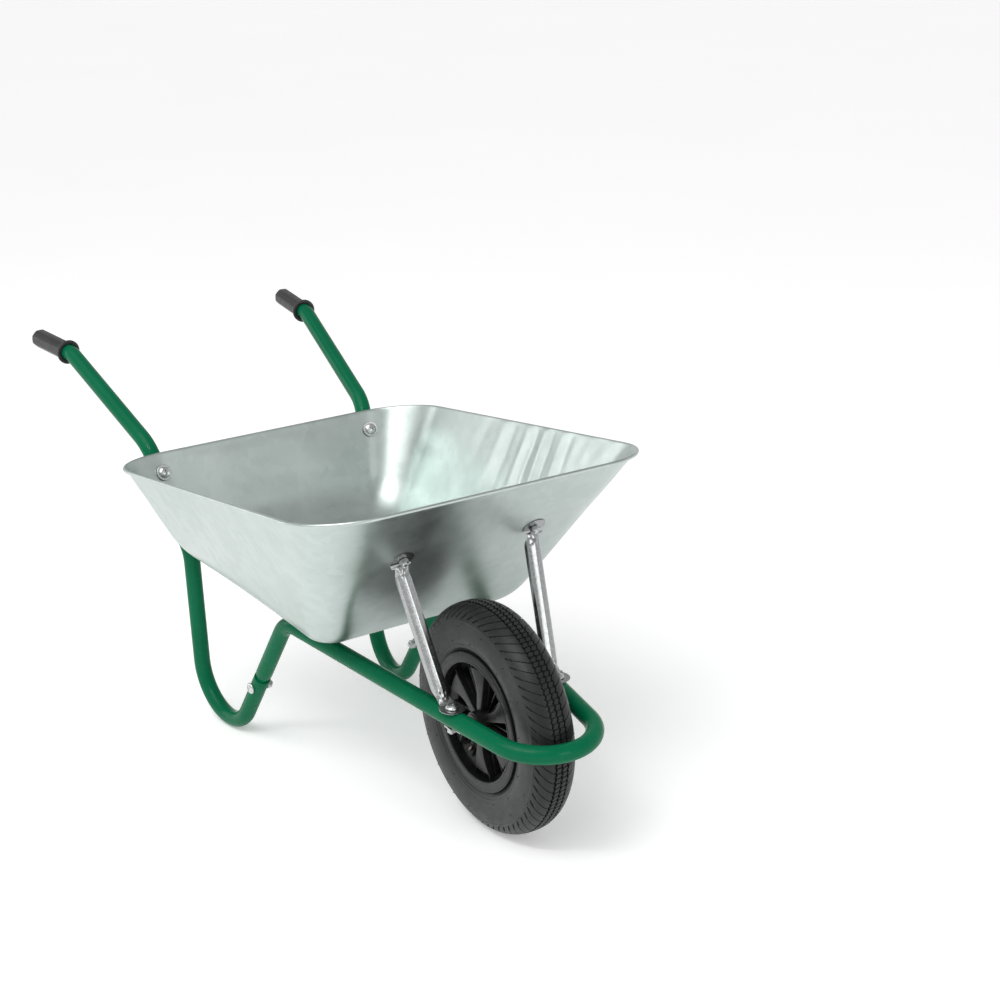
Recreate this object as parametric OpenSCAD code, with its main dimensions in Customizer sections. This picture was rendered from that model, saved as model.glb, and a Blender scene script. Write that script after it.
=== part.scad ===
// Builder's wheelbarrow: galvanised pan on a bent green tube frame with one pneumatic wheel.
// Millimetres. +X is the direction of travel, +Y the operator's left, +Z up, ground at z = 0.
// Lengthwise stations are measured from the axle: "back" is behind it and "ahead" in front of it.

/* [Wheel] */
// Outer diameter of the tyre
tyre_d = 370; // [366:1:372]
// Width of the tyre
tyre_w = 80; // [76:1:82]
// Diameter of the rim flanges
flange_d = 224; // [220:1:226]
// Diameter of the bead seats of the rim
seat_d = 203; // [202:1:204]
// Width of the rim over its two flanges
rim_w = 75; // [74:1:78]
// Width of the hub
hub_w = 80; // [78:1:82]
// Outer diameter of the hub
hub_d = 34; // [30:1:38]
// Number of raised spokes
spoke_count = 6; // [5:1:7]
// Length of a spoke's face, measured out from the axle
spoke_reach = 83; // [78:1:84]
// Width of a spoke at its outer end
spoke_w = 40; // [34:1:44]
// Diameter of the axle
axle_d = 12.7; // [12:0.1:13]
// Distance from the origin forward to the axle
axle_x = 459; // [450:0.1:470]

/* [Frame tube] */
// Outer diameter of the frame tube
tube_d = 28.6; // [27:0.2:29]
// Wall thickness of the frame tube
tube_wall = 1.5; // [1.2:0.1:2]
// Height of the handle bend just in front of the grip
handle_z = 610.5; // [600:0.5:620]
// Distance of that bend behind the axle
handle_back = 1012; // [1000:1:1020]
// Half the width between the handles at that bend
handle_half = 239.5; // [235:0.5:245]
// Bend radius just in front of the grip
handle_bend_r = 55; // [45:1:60]
// Bend radius at the knee, behind the top of the pan
knee_bend_r = 70; // [60:1:75]
// Bend radius at the heel, behind the bottom of the pan
heel_bend_r = 70; // [60:1:80]
// Bend radius under the front of the floor
saddle_bend_r = 52; // [45:1:60]
// Bend radius of the loop that runs round the front of the wheel
loop_r = 81; // [80:0.5:82]
// Half the width of the run at the axle
run_half = 101; // [100:0.5:102]
// Height of the run at the axle
run_z = 224.5; // [223:0.5:226]

/* [Pan] */
// Thickness of the pan's sheet
sheet = 1.2; // [1:0.1:1.5]
// Radius of the rolled edge
bead_r = 3.2; // [3:0.1:3.5]
// Half the width of the rim
rim_half = 303.5; // [300:0.5:306]
// Height of the rim at the rear
rim_rear_z = 477; // [475:0.5:479]
// Height of the rim at the front
rim_front_z = 562; // [558:0.5:566]
// Corner radius of the rim
rim_corner_r = 105; // [100:1:110]
// Half the width of the floor at the rear
floor_rear_half = 210; // [206:1:214]
// Half the width of the floor at the front
floor_front_half = 183; // [180:1:186]
// Length of the fold between the floor and the walls, each way from their corner
fold = 66; // [60:1:70]

/* [Stays] */
// Width of a stay
stay_w = 25; // [22:1:28]
// Depth of a stay's side flanges
stay_depth = 11; // [9:1:13]
// Thickness of the stay's strip
stay_t = 2; // [1.8:0.1:2.2]
// Diameter of the round tabs at the ends of a stay
tab_d = 40; // [38:1:42]

/* [Grips] */
// Outer diameter of a grip
grip_d = 34; // [33:0.5:36]
// Diameter of a grip's front collar
collar_d = 44; // [42:0.5:46]
// Length of a grip
grip_len = 118; // [112:1:122]

/* [Fasteners] */
// Diameter of the bolts
bolt_d = 8; // [7.8:0.1:8.2]
// Width of the nuts across their flats
nut_af = 13; // [12:0.5:14]
// Diameter of the domed bolt heads
dome_d = 20; // [18:0.5:21]
// Diameter of the washers inside the pan
washer_d = 28; // [26:0.5:30]

/* [Hidden] */
$fn = 64;

right = -1;
left = 1;
green = "#00704a";
zinc = "#c9d3d2";
galvanised = "#b9c8c4";
black_rubber = "#2c2c2e";
grey_rubber = "#3a3a3c";
black_plastic = "#262829";
nylon = "#d8d8d0";
brass = "#b08d4a";
tiny = 0.01;
fit = 0.05;
gap = 0.1;
neck = 0.05;                           // how much thinner a tube is in its bends
lap = 1;                               // how far a straight tube reaches into a bend

tube_r = tube_d / 2;
bore_r = tube_r - tube_wall;
bolt_r = bolt_d / 2;
hole_r = bolt_r + 0.3;
nut_h = 6.5;
washer_t = 1.6;
dome_h = 5.5;
wheel_r = tyre_d / 2;

// ---- vector helpers ----
function unit(v) = v / norm(v);
function mix(a, b, t) = a + (b - a) * t;

// ---- route of the frame tubes, on the left side ----
run_in = 0.1486;                       // inward slope of the run, per unit forward
run_down = 0.1031;                     // downward slope of the run, per unit forward
run_tilt = atan(run_down);
function run_at(x) = [x, run_half - run_in * x, run_z - run_down * x];
saddle = run_at(-381);                 // corner under the floor
handle_end = [-handle_back - 120.5, handle_half + 12.7, handle_z + 9];
handle_bend = [-handle_back, handle_half, handle_z];
knee = [-760, 213, 489.5];
heel = [-684, 184, 305.5];
foot = [-712, 167.7, -161.5];          // where the two legs' centre lines would cross

// The foot's bend radius follows from the legs, so that the bend just touches the ground.
foot_up = unit(heel - foot);
foot_ahead = unit(saddle - foot);
foot_half = acos(foot_up * foot_ahead) / 2;
foot_axis = unit(foot_up + foot_ahead);
foot_bend_r = (tube_r - foot[2]) / (foot_axis[2] / sin(foot_half) - 1);

joint = mix(foot, saddle, 0.637);      // bolt that joins the leg to the front frame
sleeve_end = mix(foot, saddle, 0.69);  // end of the outer tube at the joint
spigot_end = mix(foot, saddle, 0.54);  // end of the inner tube at the joint

handle_route = [handle_end, handle_bend, knee, heel, foot, sleeve_end];
handle_bends = [handle_bend_r, knee_bend_r, heel_bend_r, foot_bend_r];

loop_slope = run_in * cos(run_tilt);   // inward slope of the run, in the loop's own tilted plane
loop_half = 90 - atan(loop_slope);     // angle that the loop turns on each side of its tip
loop_hub = (run_half - loop_r * norm([1, loop_slope])) / loop_slope;

// ---- pan ----
rim_rear = -738.3;
rim_front = 42;
wall_back = 0.413;                     // backward lean of the rear wall, per unit of height
floor_z0 = run_z + tube_r / cos(run_tilt) + 0.2;
function floor_z(x) = floor_z0 - run_down * x;
floor_rear = (rim_rear + wall_back * (rim_rear_z - floor_z0)) / (1 - wall_back * run_down);
floor_front = -216;
floor_corner_r = 40;
corner_steps = 8;
fold_steps = 5;
bead_steps = 7;
rim_rise = (rim_front_z - rim_rear_z) / (rim_front - rim_rear);
function rim_z(x) = rim_rear_z + rim_rise * (x - rim_rear);

stay_foot = run_at(33);

// ---- helpers that place things ----
module at_wheel() translate([axle_x, 0, wheel_r]) rotate([90, 0, 0]) children();
module placed() translate([axle_x, 0, 0]) children();
module on(side) mirror([0, side == left ? 0 : 1, 0]) children();
module at_rear_bolt() placed() translate(rear_bolt) aim(rear_inward) children();
module at_stay_top() placed() translate(stay_top) rotate([0, front_lean, 0]) children();
module at_stay_foot() placed() translate(stay_foot) rotate([0, run_tilt, 0]) children();
module at_joint() placed() translate(joint) rotate([-90, 0, 0]) children();

// Turns the local Z axis to the direction d.
module aim(d) rotate([0, acos(d[2] / norm(d)), atan2(d[1], d[0])]) children();

// ---- tube along a route of corners, with a bend at each inner corner ----
function bend_cut(a, b, c, r) = r * tan(acos(unit(b - a) * unit(c - b)) / 2);

module bend(a, b, c, bend_r, r) {
    into = unit(b - a);
    out = unit(c - b);
    turn = acos(into * out);
    side = unit(cross(cross(into, out), into));
    start = b - into * bend_cut(a, b, c, bend_r);
    hub = start + side * bend_r;
    axis = cross(into, side);
    multmatrix([[-side[0], into[0], -axis[0], hub[0]],
                [-side[1], into[1], -axis[1], hub[1]],
                [-side[2], into[2], -axis[2], hub[2]],
                [0, 0, 0, 1]])
        mirror([0, 0, 1]) rotate_extrude(angle = turn) translate([bend_r, 0]) circle(r - neck);
}

module straight(a, b, r) translate(a) aim(b - a) cylinder(h = norm(b - a), r = r);

module tube_route(p, bends, r, over = 0) {
    last = len(p) - 1;
    for (i = [0 : last - 1]) {
        d = unit(p[i + 1] - p[i]);
        cut_in = i == 0 ? -over : bend_cut(p[i - 1], p[i], p[i + 1], bends[i - 1]) - lap;
        cut_out = i == last - 1 ? -over : bend_cut(p[i], p[i + 1], p[i + 2], bends[i]) - lap;
        straight(p[i] + d * cut_in, p[i + 1] - d * cut_out, r);
    }
    for (i = [1 : last - 1]) bend(p[i - 1], p[i], p[i + 1], bends[i - 1], r);
}

// ---- one handle with its leg and foot, ending in the socket of the joint ----
module handle_leg(side) {
    color(green) on(side) difference() {
        placed() tube_route(handle_route, handle_bends, tube_r);
        placed() tube_route(handle_route, handle_bends, bore_r, 1);
        at_rear_bolt() translate([0, 0, -tube_d - 8]) cylinder(h = tube_d + 16, r = hole_r);
        at_joint() cylinder(h = tube_d + 8, r = hole_r, center = true);
    }
}

// ---- the tube that carries the pan's floor, loops round the wheel and ends in two spigots ----
spigot_r = bore_r - gap;
spigot_wall = 1.4;
swage = mix(foot, saddle, 0.705);      // where the tube narrows to the spigot
swage_len = 5;

module frame_half(r, spigot, over) {
    d = unit(saddle - foot);
    e = unit(run_at(0) - saddle);
    cut = bend_cut(foot, saddle, run_at(0), saddle_bend_r) - lap;
    straight(swage + d * swage_len * over, saddle - d * cut, r);
    bend(foot, saddle, run_at(0), saddle_bend_r, r);
    straight(saddle + e * cut, loop_start + e * lap, r);
    straight(spigot_end - d * over, swage + d * (1 + swage_len * over), spigot);
}

// Where the left-hand run meets the loop.
loop_start = [(loop_hub + loop_r * cos(loop_half)) * cos(run_tilt), loop_r * sin(loop_half),
              run_z - (loop_hub + loop_r * cos(loop_half)) * sin(run_tilt)];

module frame_loop(r) {
    // The loop lies in the same sloping plane as the two runs.
    translate([0, 0, run_z]) rotate([0, run_tilt, 0]) translate([loop_hub, 0, 0])
        rotate([0, 0, -loop_half]) rotate_extrude(angle = 2 * loop_half)
            translate([loop_r, 0]) circle(r - neck);
}

module frame_line(r, spigot, over) {
    frame_half(r, spigot, over);
    mirror([0, 1, 0]) frame_half(r, spigot, over);
    frame_loop(r);
}

module front_frame() {
    color(green) difference() {
        placed() frame_line(tube_r, spigot_r, 0);
        placed() frame_line(bore_r, spigot_r - spigot_wall, 1);
        for (side = [right, left]) on(side) {
            at_joint() cylinder(h = tube_d + 8, r = hole_r, center = true);
            at_stay_foot() cylinder(h = tube_d + 8, r = hole_r, center = true);
        }
    }
}

// ---- pan: one drawn sheet with a rolled edge ----
function plan_corner(a, p, b, r) =
    let (da = unit(a - p), db = unit(b - p), half = acos(da * db) / 2,
         hub = p + unit(da + db) * r / sin(half),
         first = p + da * r / tan(half) - hub, last = p + db * r / tan(half) - hub,
         from = atan2(first[1], first[0]), turn = atan2(last[1], last[0]) - from,
         sweep = turn > 180 ? turn - 360 : turn < -180 ? turn + 360 : turn)
    [for (k = [0 : corner_steps]) let (t = from + sweep * k / corner_steps) hub + r * [cos(t), sin(t)]];

function plan_ring(rear, rear_half, front, front_half, r) =
    let (p = [[rear, rear_half], [rear, -rear_half], [front, -front_half], [front, front_half]])
    [for (i = [0 : 3]) for (q = plan_corner(p[(i + 3) % 4], p[i], p[(i + 1) % 4], r)) q];

rim_ring = [for (q = plan_ring(rim_rear, rim_half, rim_front, rim_half, rim_corner_r))
    [q[0], q[1], rim_z(q[0])]];
corner_ring = [for (q = plan_ring(floor_rear, floor_rear_half, floor_front, floor_front_half, floor_corner_r))
    [q[0], q[1], floor_z(q[0])]];
ring_n = len(rim_ring);
floor_mid = [(floor_rear + floor_front) / 2, 0, floor_z((floor_rear + floor_front) / 2)];
floor_up = unit([run_down, 0, 1]);

wall_up = [for (i = [0 : ring_n - 1]) unit(rim_ring[i] - corner_ring[i])];
wall_out = [for (i = [0 : ring_n - 1])
    unit(cross(rim_ring[(i + 1) % ring_n] - rim_ring[(i + ring_n - 1) % ring_n], wall_up[i]))];
// The two factors turn the outward normal away from the pan and set the wall inside the rolled edge.
outward = wall_out[0] * (rim_ring[0] - floor_mid) > 0 ? 1 : -1;
wall_top = [for (i = [0 : ring_n - 1]) rim_ring[i] - outward * wall_out[i] * (bead_r - sheet)
    - wall_up[i] * bead_r * 0.7];

function fold_point(i, t) =
    let (c = corner_ring[i], a = c + unit(floor_mid - c) * fold,
         b = c + unit(wall_top[i] - c) * fold)
    (1 - t) * (1 - t) * a + 2 * t * (1 - t) * c + t * t * b;

outer_rings = concat(
    [for (j = [0 : fold_steps]) [for (i = [0 : ring_n - 1]) fold_point(i, j / fold_steps)]],
    [wall_top]);
outer_n = len(outer_rings);

// ---- places of the bolts that hold the pan, on its outer face ----
rear_facet = corner_steps - 1;         // first ring point of the facet behind each handle tube
front_facet = 3 * corner_steps + 2;    // first ring point of the front wall's flat
rear_bolt_z = 447;
stay_top_z = 455;
stay_top_half = 117.5;

// Point of the wall between the ring points i and i + 1, at the height z and the share f of the way.
function wall_point(i, f, z) =
    let (low = mix(outer_rings[fold_steps][i], outer_rings[fold_steps][i + 1], f),
         high = mix(wall_top[i], wall_top[i + 1], f))
    mix(low, high, (z - low[2]) / (high[2] - low[2]));
function wall_inward(i) =
    -outward * unit(cross(wall_top[i + 1] - wall_top[i], wall_top[i] - outer_rings[fold_steps][i]));

rear_bolt = wall_point(rear_facet, 0.3, rear_bolt_z);
rear_inward = wall_inward(rear_facet);
front_left = wall_point(front_facet, 1, stay_top_z);
stay_top = [front_left[0], stay_top_half, stay_top_z];
front_inward = wall_inward(front_facet);
front_lean = 180 - acos(front_inward[2]);

function surface_normal(j, i) =
    j == 0 ? floor_up :
    let (along = outer_rings[j][(i + 1) % ring_n] - outer_rings[j][(i + ring_n - 1) % ring_n],
         up = outer_rings[min(j + 1, outer_n - 1)][i] - outer_rings[j - 1][i])
    -outward * unit(cross(along, up));

inner_rings = [for (j = [outer_n - 1 : -1 : 0])
    [for (i = [0 : ring_n - 1]) outer_rings[j][i] + surface_normal(j, i) * sheet]];

bead_rings = [for (k = [0 : bead_steps]) let (t = -110 + 270 * k / bead_steps)
    [for (i = [0 : ring_n - 1])
        rim_ring[i] + bead_r * (cos(t) * outward * wall_out[i] + sin(t) * wall_up[i])]];

pan_rings = concat(outer_rings, bead_rings, inner_rings);
pan_n = len(pan_rings);

module pan_sheet() {
    sides = [for (j = [0 : pan_n - 2]) for (i = [0 : ring_n - 1])
        let (a = j * ring_n + i, b = j * ring_n + (i + 1) % ring_n)
        each [[a, b, b + ring_n], [a, b + ring_n, a + ring_n]]];
    under = [[for (i = [ring_n - 1 : -1 : 0]) i]];
    inside = [[for (i = [0 : ring_n - 1]) (pan_n - 1) * ring_n + i]];
    faces = concat(sides, under, inside);
    polyhedron([for (ring = pan_rings) each ring],
               outward > 0 ? [for (f = faces) [for (k = [len(f) - 1 : -1 : 0]) f[k]]] : faces);
}

module pan() {
    color(galvanised) difference() {
        placed() difference() {
            pan_sheet();
            // The rolled edge is pressed flat where the two handles pass it.
            for (side = [right, left]) on(side) intersection() {
                tube_route([handle_bend, knee, heel, foot], [knee_bend_r, heel_bend_r], tube_r + gap);
                translate([rim_rear - 40, 0, rim_rear_z - 7]) cube([60, rim_half, 30]);
            }
        }
        for (side = [right, left]) on(side) {
            at_rear_bolt() cylinder(h = 12, r = hole_r, center = true);
            at_stay_top() cylinder(h = 12, r = hole_r, center = true);
        }
    }
}

// ---- grips ----
grip_axis = handle_end - handle_bend;
grip_start = bend_cut(handle_end, handle_bend, knee, handle_bend_r) + 1;

module grip(side) {
    color(black_rubber) on(side) placed()
        translate(handle_bend) aim(grip_axis) translate([0, 0, grip_start])
            difference() {
                rotate_extrude() polygon(concat(
                    [[0, 0], [collar_d / 2 - 1, 0], [collar_d / 2, 1.5], [collar_d / 2, 4],
                     [grip_d / 2 + 1, 8], [grip_d / 2, 12]],
                    [for (t = [0 : 15 : 90]) [grip_d / 2 - 8 + 8 * cos(t), grip_len - 8 + 8 * sin(t)]],
                    [[0, grip_len]]));
                translate([0, 0, -tiny])
                    cylinder(h = norm(grip_axis) - grip_start + tiny + fit, r = tube_r + fit);
            }
}

// ---- stays: pressed channel with a low ridge and a flattened round tab at each end ----
foot_lift = 6;                         // height of the channel's end above the tab at the foot
top_lift = 11;                         // distance of the channel's end from the tab at the top
stay_end = 6;                          // length at each end that is flattened
foot_setback = 19;                     // channel's axis behind the bolt at the foot
top_setback = 14;                      // channel's axis below the bolt at the top

module stay_section() {
    half = stay_w / 2;
    ridge = stay_w / 6;
    polygon([[-half, -stay_depth], [-half, 0], [-ridge, 1], [0, 3], [ridge, 1], [half, 0],
             [half, -stay_depth], [half - stay_t, -stay_depth], [half - stay_t, -stay_t],
             [ridge, 1 - stay_t], [0, 3 - stay_t], [-ridge, 1 - stay_t],
             [-half + stay_t, -stay_t], [-half + stay_t, -stay_depth]]);
}

// A point beside a bolt: "along" lies in the plane of the tab and "up" stands off it.
function beside(place, lean, along, up) =
    place + along * [cos(lean), 0, -sin(lean)] + up * [sin(lean), 0, cos(lean)];

foot_point = beside(stay_foot, run_tilt, -foot_setback, tube_r + stay_t + foot_lift);
top_point = beside(stay_top, front_lean, top_setback, stay_t + top_lift);
stay_axis = unit(top_point - foot_point);
stay_side = unit([0, -1, 0] + stay_axis[1] * stay_axis);
stay_front = cross(stay_axis, stay_side);
stay_len = norm(top_point - foot_point) - 2 * stay_end;

module along_stay() placed()
    multmatrix([[stay_side[0], stay_front[0], stay_axis[0], foot_point[0]],
                [stay_side[1], stay_front[1], stay_axis[1], foot_point[1]],
                [stay_side[2], stay_front[2], stay_axis[2], foot_point[2]],
                [0, 0, 0, 1]])
        translate([0, 0, stay_end]) children();

// The flattened ends stand this far inside the faces of the channel and of the tab.
inset = 0.3;
module stay_slice() translate([inset - stay_w / 2, inset - stay_t * 2, 0])
    cube([stay_w - 2 * inset, 2 * (stay_t - inset), 1]);

module stay(side) {
    foot_tab = tube_r + gap;
    color(zinc) on(side) difference() {
        union() {
            along_stay() linear_extrude(stay_len) stay_section();
            at_stay_foot() translate([0, 0, foot_tab]) cylinder(h = stay_t, r = tab_d / 2);
            at_stay_top() translate([0, 0, gap]) cylinder(h = stay_t, r = tab_d / 2);
            hull() {
                along_stay() translate([0, 0, inset]) stay_slice();
                at_stay_foot() translate([-tab_d / 2 + 1, -stay_w / 2 + 2, foot_tab + inset])
                    cube([1, stay_w - 4, stay_t - 2 * inset]);
            }
            hull() {
                along_stay() translate([0, 0, stay_len - 1 - inset]) stay_slice();
                at_stay_top() translate([tab_d / 2 - 2, -stay_w / 2 + 2, gap + inset])
                    cube([1, stay_w - 4, stay_t - 2 * inset]);
            }
        }
        at_stay_foot() cylinder(h = tube_d + 20, r = hole_r, center = true);
        at_stay_top() cylinder(h = 20, r = hole_r, center = true);
    }
}

// ---- axle, its brackets under the runs, and the spacers that centre the hub ----
bracket_t = 3;
bracket_w = 18;
ear_in = 58;                           // inner face of a bracket's ear, from the middle
spacer_gap = 1;                        // side play of the hub on each side
bush_flange_t = 2;
spacer_in = hub_w / 2 + bush_flange_t + spacer_gap;
axle_nut_af = 19;
axle_nut_h = 6;
axle_end = ear_in + bracket_t + axle_nut_h + 2;
ear_r = 12.5;

// Where the ear meets the middle of the pad, seen from the side of the wheel.
function ear_corner(end) = let (x = stay_foot[0] + end * bracket_w / 2)
    [x, run_z - run_down * x - wheel_r - (tube_r + gap + bracket_t / 2) / cos(run_tilt)];

module axle_bracket(side) {
    pad_in = ear_in - stay_foot[1];
    pad_out = nut_af / 2 + 1;
    color(zinc) on(side) difference() {
        union() {
            at_stay_foot() translate([-bracket_w / 2, pad_in, -tube_r - gap - bracket_t])
                cube([bracket_w, pad_out - pad_in, bracket_t]);
            placed() translate([0, ear_in + bracket_t, wheel_r])
                rotate([90, 0, 0]) linear_extrude(bracket_t) union() {
                    circle(ear_r);
                    polygon([[-9, 8.7], ear_corner(-1), ear_corner(1), [9, -8.7]]);
                }
        }
        at_stay_foot() cylinder(h = tube_d * 2, r = hole_r, center = true);
        at_wheel() cylinder(h = 3 * ear_in, r = axle_d / 2 + gap, center = true);
    }
}

module axle() color(zinc) at_wheel() cylinder(h = 2 * axle_end, r = axle_d / 2, center = true);

module ring(outer, inner, h) rotate_extrude() translate([inner, 0]) square([outer - inner, h]);

module on_both() for (side = [right, left]) on(side) children();
module outboard(from) at_wheel() mirror([0, 0, 1]) translate([0, 0, from]) children();

module axle_spacers() color(zinc) on_both() outboard(spacer_in)
    ring(axle_d / 2 + 3, axle_d / 2 + gap, ear_in - spacer_in);

module hex_nut(af, h, hole) difference() {
    cylinder(h = h, r = af / 2 / cos(30), $fn = 6);
    translate([0, 0, -1]) cylinder(h = h + 2, r = hole);
}

module axle_nuts() color(zinc) on_both() outboard(ear_in + bracket_t + gap)
    hex_nut(axle_nut_af, axle_nut_h, axle_d / 2 + fit);

// ---- wheel: pneumatic tyre on a one-piece plastic centre ----
flange_r = flange_d / 2;
seat_r = seat_d / 2;
wall_t = 4.5;
tube_wall_t = 2;
section_power = 2.4;                   // squareness of the tyre's section
section_h = 42;                        // half the height of the tyre's section
section_mid = wheel_r - section_h;
bead_in = 22;                          // inner edge of a tyre bead, from the middle

function power(v, p) = sign(v) * pow(abs(v), p);
function section(h, w, t) =
    [section_mid + h * power(cos(t), 2 / section_power), w * power(sin(t), 2 / section_power)];
function arc_of(h, w, from, to, step) = [for (t = [from : step : to]) section(h, w, t)];

tyre_turn = 136;                       // angle of the section at which it meets the rim flange
cavity_turn = 138;
flange_in = rim_w / 2 - 6;             // inner face of a rim flange, from the middle

module tyre() {
    outer = arc_of(section_h, tyre_w / 2, -tyre_turn, tyre_turn, 8);
    inner = arc_of(section_h - 6, tyre_w / 2 - wall_t, -cavity_turn, cavity_turn, 12);
    bead = [[flange_r - 2, flange_in - gap], [seat_r + gap, flange_in - gap], [seat_r + gap, bead_in]];
    color(grey_rubber) at_wheel() rotate_extrude($fn = 96) polygon(concat(
        [for (k = [len(bead) - 1 : -1 : 0]) [bead[k][0], -bead[k][1]]], outer, bead,
        [for (k = [len(inner) - 1 : -1 : 0]) inner[k]]));
}

module inner_tube() {
    outer = arc_of(section_h - 6.4, tyre_w / 2 - wall_t - 0.4, -180, 170, 10);
    inner = arc_of(section_h - 6.4 - tube_wall_t, tyre_w / 2 - wall_t - 0.4 - tube_wall_t, -180, 170, 10);
    color(black_rubber) at_wheel() difference() {
        rotate_extrude() polygon(outer);
        rotate_extrude() polygon(inner);
    }
}

bush_r = 9;
well_r = 90;
well_half = 12;
seat_half = 18;
barrel_in = 95;
web_half = 2;
spoke_half = 28;                       // height of a spoke's face above the middle of the wheel
spoke_root = hub_d / 2 - 3;             // start of a spoke, inside the hub
spoke_tip = 5;                         // half the width of a spoke at its root
rib_half = 17;
rib_t = 2.5;
rib_turn = 15;
valve_turn = -127.5;                    // place of the valve round the wheel, from straight ahead
valve_out = 14;                        // distance of the valve from the middle, toward the right
valve_r = 4;

module rim_half_section() {
    edge = rim_w / 2;
    polygon([[bush_r, 0], [bush_r, hub_w / 2], [hub_d / 2 - 1, hub_w / 2], [hub_d / 2, hub_w / 2 - 1],
             [hub_d / 2 + 1, web_half], [well_r - 4, web_half], [well_r - 4, well_half],
             [barrel_in, seat_half + 2], [barrel_in, edge - 1], [barrel_in + 1, edge],
             [flange_r - 1.5, edge], [flange_r, edge - 1.5], [flange_r, flange_in + 1.5],
             [flange_r - 1.5, flange_in], [seat_r, flange_in], [seat_r, seat_half],
             [well_r, well_half], [well_r, 0]]);
}

module spoke() linear_extrude(2 * spoke_half, center = true) polygon([
    [spoke_root, -spoke_tip], [spoke_reach, -spoke_w / 2],
    [spoke_reach, spoke_w / 2], [spoke_root, spoke_tip]]);

module wheel_centre() color(black_plastic) at_wheel() difference() {
    union() {
        rotate_extrude($fn = 96) union() {
            rim_half_section();
            mirror([0, 1]) rim_half_section();
        }
        for (k = [0 : spoke_count - 1]) rotate([0, 0, 360 * (k + 0.5) / spoke_count]) spoke();
        for (t = [0 : rib_turn : 359]) rotate([0, 0, t]) translate([hub_d / 2 - 2, -rib_t / 2, -rib_half])
            cube([barrel_in - hub_d / 2 + 3, rib_t, 2 * rib_half]);
    }
    rotate([0, 0, valve_turn]) translate([0, 0, valve_out]) rotate([0, 90, 0])
        cylinder(h = seat_r, r = valve_r + gap);
    cylinder(h = hub_w + 2, r = bush_r, center = true);
}

module hub_bush(side) color(nylon) on(side) outboard(0) rotate_extrude()
    polygon([[axle_d / 2 + fit, hub_w / 2 - 24], [bush_r, hub_w / 2 - 24], [bush_r, hub_w / 2],
             [bush_r + 5, hub_w / 2], [bush_r + 5, hub_w / 2 + bush_flange_t],
             [axle_d / 2 + fit, hub_w / 2 + bush_flange_t]]);

module at_valve() at_wheel() rotate([0, 0, valve_turn]) translate([0, 0, valve_out])
    rotate([0, 90, 0]) children();

valve_foot = 103;                      // start of the valve stem, from the axle
valve_tip = 70;
cap_tip = 64;

module valve_stem() color(brass) at_valve() translate([0, 0, valve_tip])
    cylinder(h = valve_foot - valve_tip, r = valve_r);

module valve_cap() color(black_plastic) at_valve() translate([0, 0, cap_tip]) difference() {
    cylinder(h = valve_tip - cap_tip + 5, r = valve_r + 1.2);
    translate([0, 0, valve_tip - cap_tip]) cylinder(h = 6, r = valve_r + fit);
}

// ---- fasteners: each is drawn pointing up from the face under its head ----
module dome_head(r, h) rotate_extrude() polygon(concat(
    [[0, 0]], [for (t = [0 : 10 : 90]) [r * cos(t), 1 + (h - 1) * sin(t)]]));

module dome_bolt(grip_h, tail) {
    dome_head(dome_d / 2, dome_h);
    translate([0, 0, -grip_h - tail]) cylinder(h = grip_h + tail + 1, r = bolt_r);
}

module washer(r, h) difference() {
    cylinder(h = h, r = r);
    translate([0, 0, -1]) cylinder(h = h + 2, r = bolt_r + fit);
}

module nut() translate([0, 0, -nut_h]) hex_nut(nut_af, nut_h, bolt_r + fit);

nut_tail = nut_h + 3;                  // how far a bolt stands out under what it clamps
rear_face = sheet + 1.8;               // face of a washer that bridges the curved rear corner
inner_face = sheet + gap;              // inner face of the flat front wall, from its outer face
handle_dir = unit(heel - knee);
rear_reach = cross(rear_inward, handle_dir);
rear_depth = cross(rear_bolt - knee, handle_dir) * rear_reach / (rear_reach * rear_reach);
rear_tube = rear_depth + tube_r + gap; // far side of the handle tube, from the pan's outer face

module rear_panel_washers() color(zinc) on_both()
    at_rear_bolt() translate([0, 0, rear_face]) washer(washer_d / 2, washer_t);
module rear_panel_bolts() color(zinc) on_both()
    at_rear_bolt() translate([0, 0, rear_face + washer_t])
        dome_bolt(rear_face + washer_t + rear_tube, nut_tail);
module rear_panel_nuts() color(zinc) on_both()
    at_rear_bolt() translate([0, 0, -rear_tube - gap]) nut();

tab_face = gap + stay_t;               // outer face of the top tab, from the pan's outer face
module stay_top_washers() color(zinc) on_both()
    at_stay_top() translate([0, 0, -inner_face - washer_t]) washer(washer_d / 2, washer_t);
module stay_top_bolts() color(zinc) on_both()
    at_stay_top() mirror([0, 0, 1]) translate([0, 0, inner_face + washer_t])
        dome_bolt(inner_face + washer_t + tab_face, nut_tail);
module stay_top_nuts() color(zinc) on_both()
    at_stay_top() translate([0, 0, tab_face + gap]) mirror([0, 0, 1]) nut();

foot_face = tube_r + gap + stay_t;     // upper face of the foot tab, from the tube's centre line
pad_face = tube_r + gap + bracket_t;   // lower face of the bracket's pad, from that line
module stay_foot_bolts() color(zinc) on_both()
    at_stay_foot() translate([0, 0, foot_face]) dome_bolt(foot_face + pad_face, nut_tail);
module stay_foot_nuts() color(zinc) on_both()
    at_stay_foot() translate([0, 0, -pad_face - gap]) nut();

joint_face = tube_r + 3 * gap;
module leg_joint_bolts() color(zinc) on_both()
    at_joint() translate([0, 0, joint_face]) dome_bolt(2 * joint_face + washer_t, nut_tail);
module leg_joint_washers() color(zinc) on_both()
    at_joint() translate([0, 0, -joint_face - washer_t]) washer(nut_af / 2 + 1.5, washer_t);
module leg_joint_nuts() color(zinc) on_both()
    at_joint() translate([0, 0, -joint_face - washer_t - gap]) nut();

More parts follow.
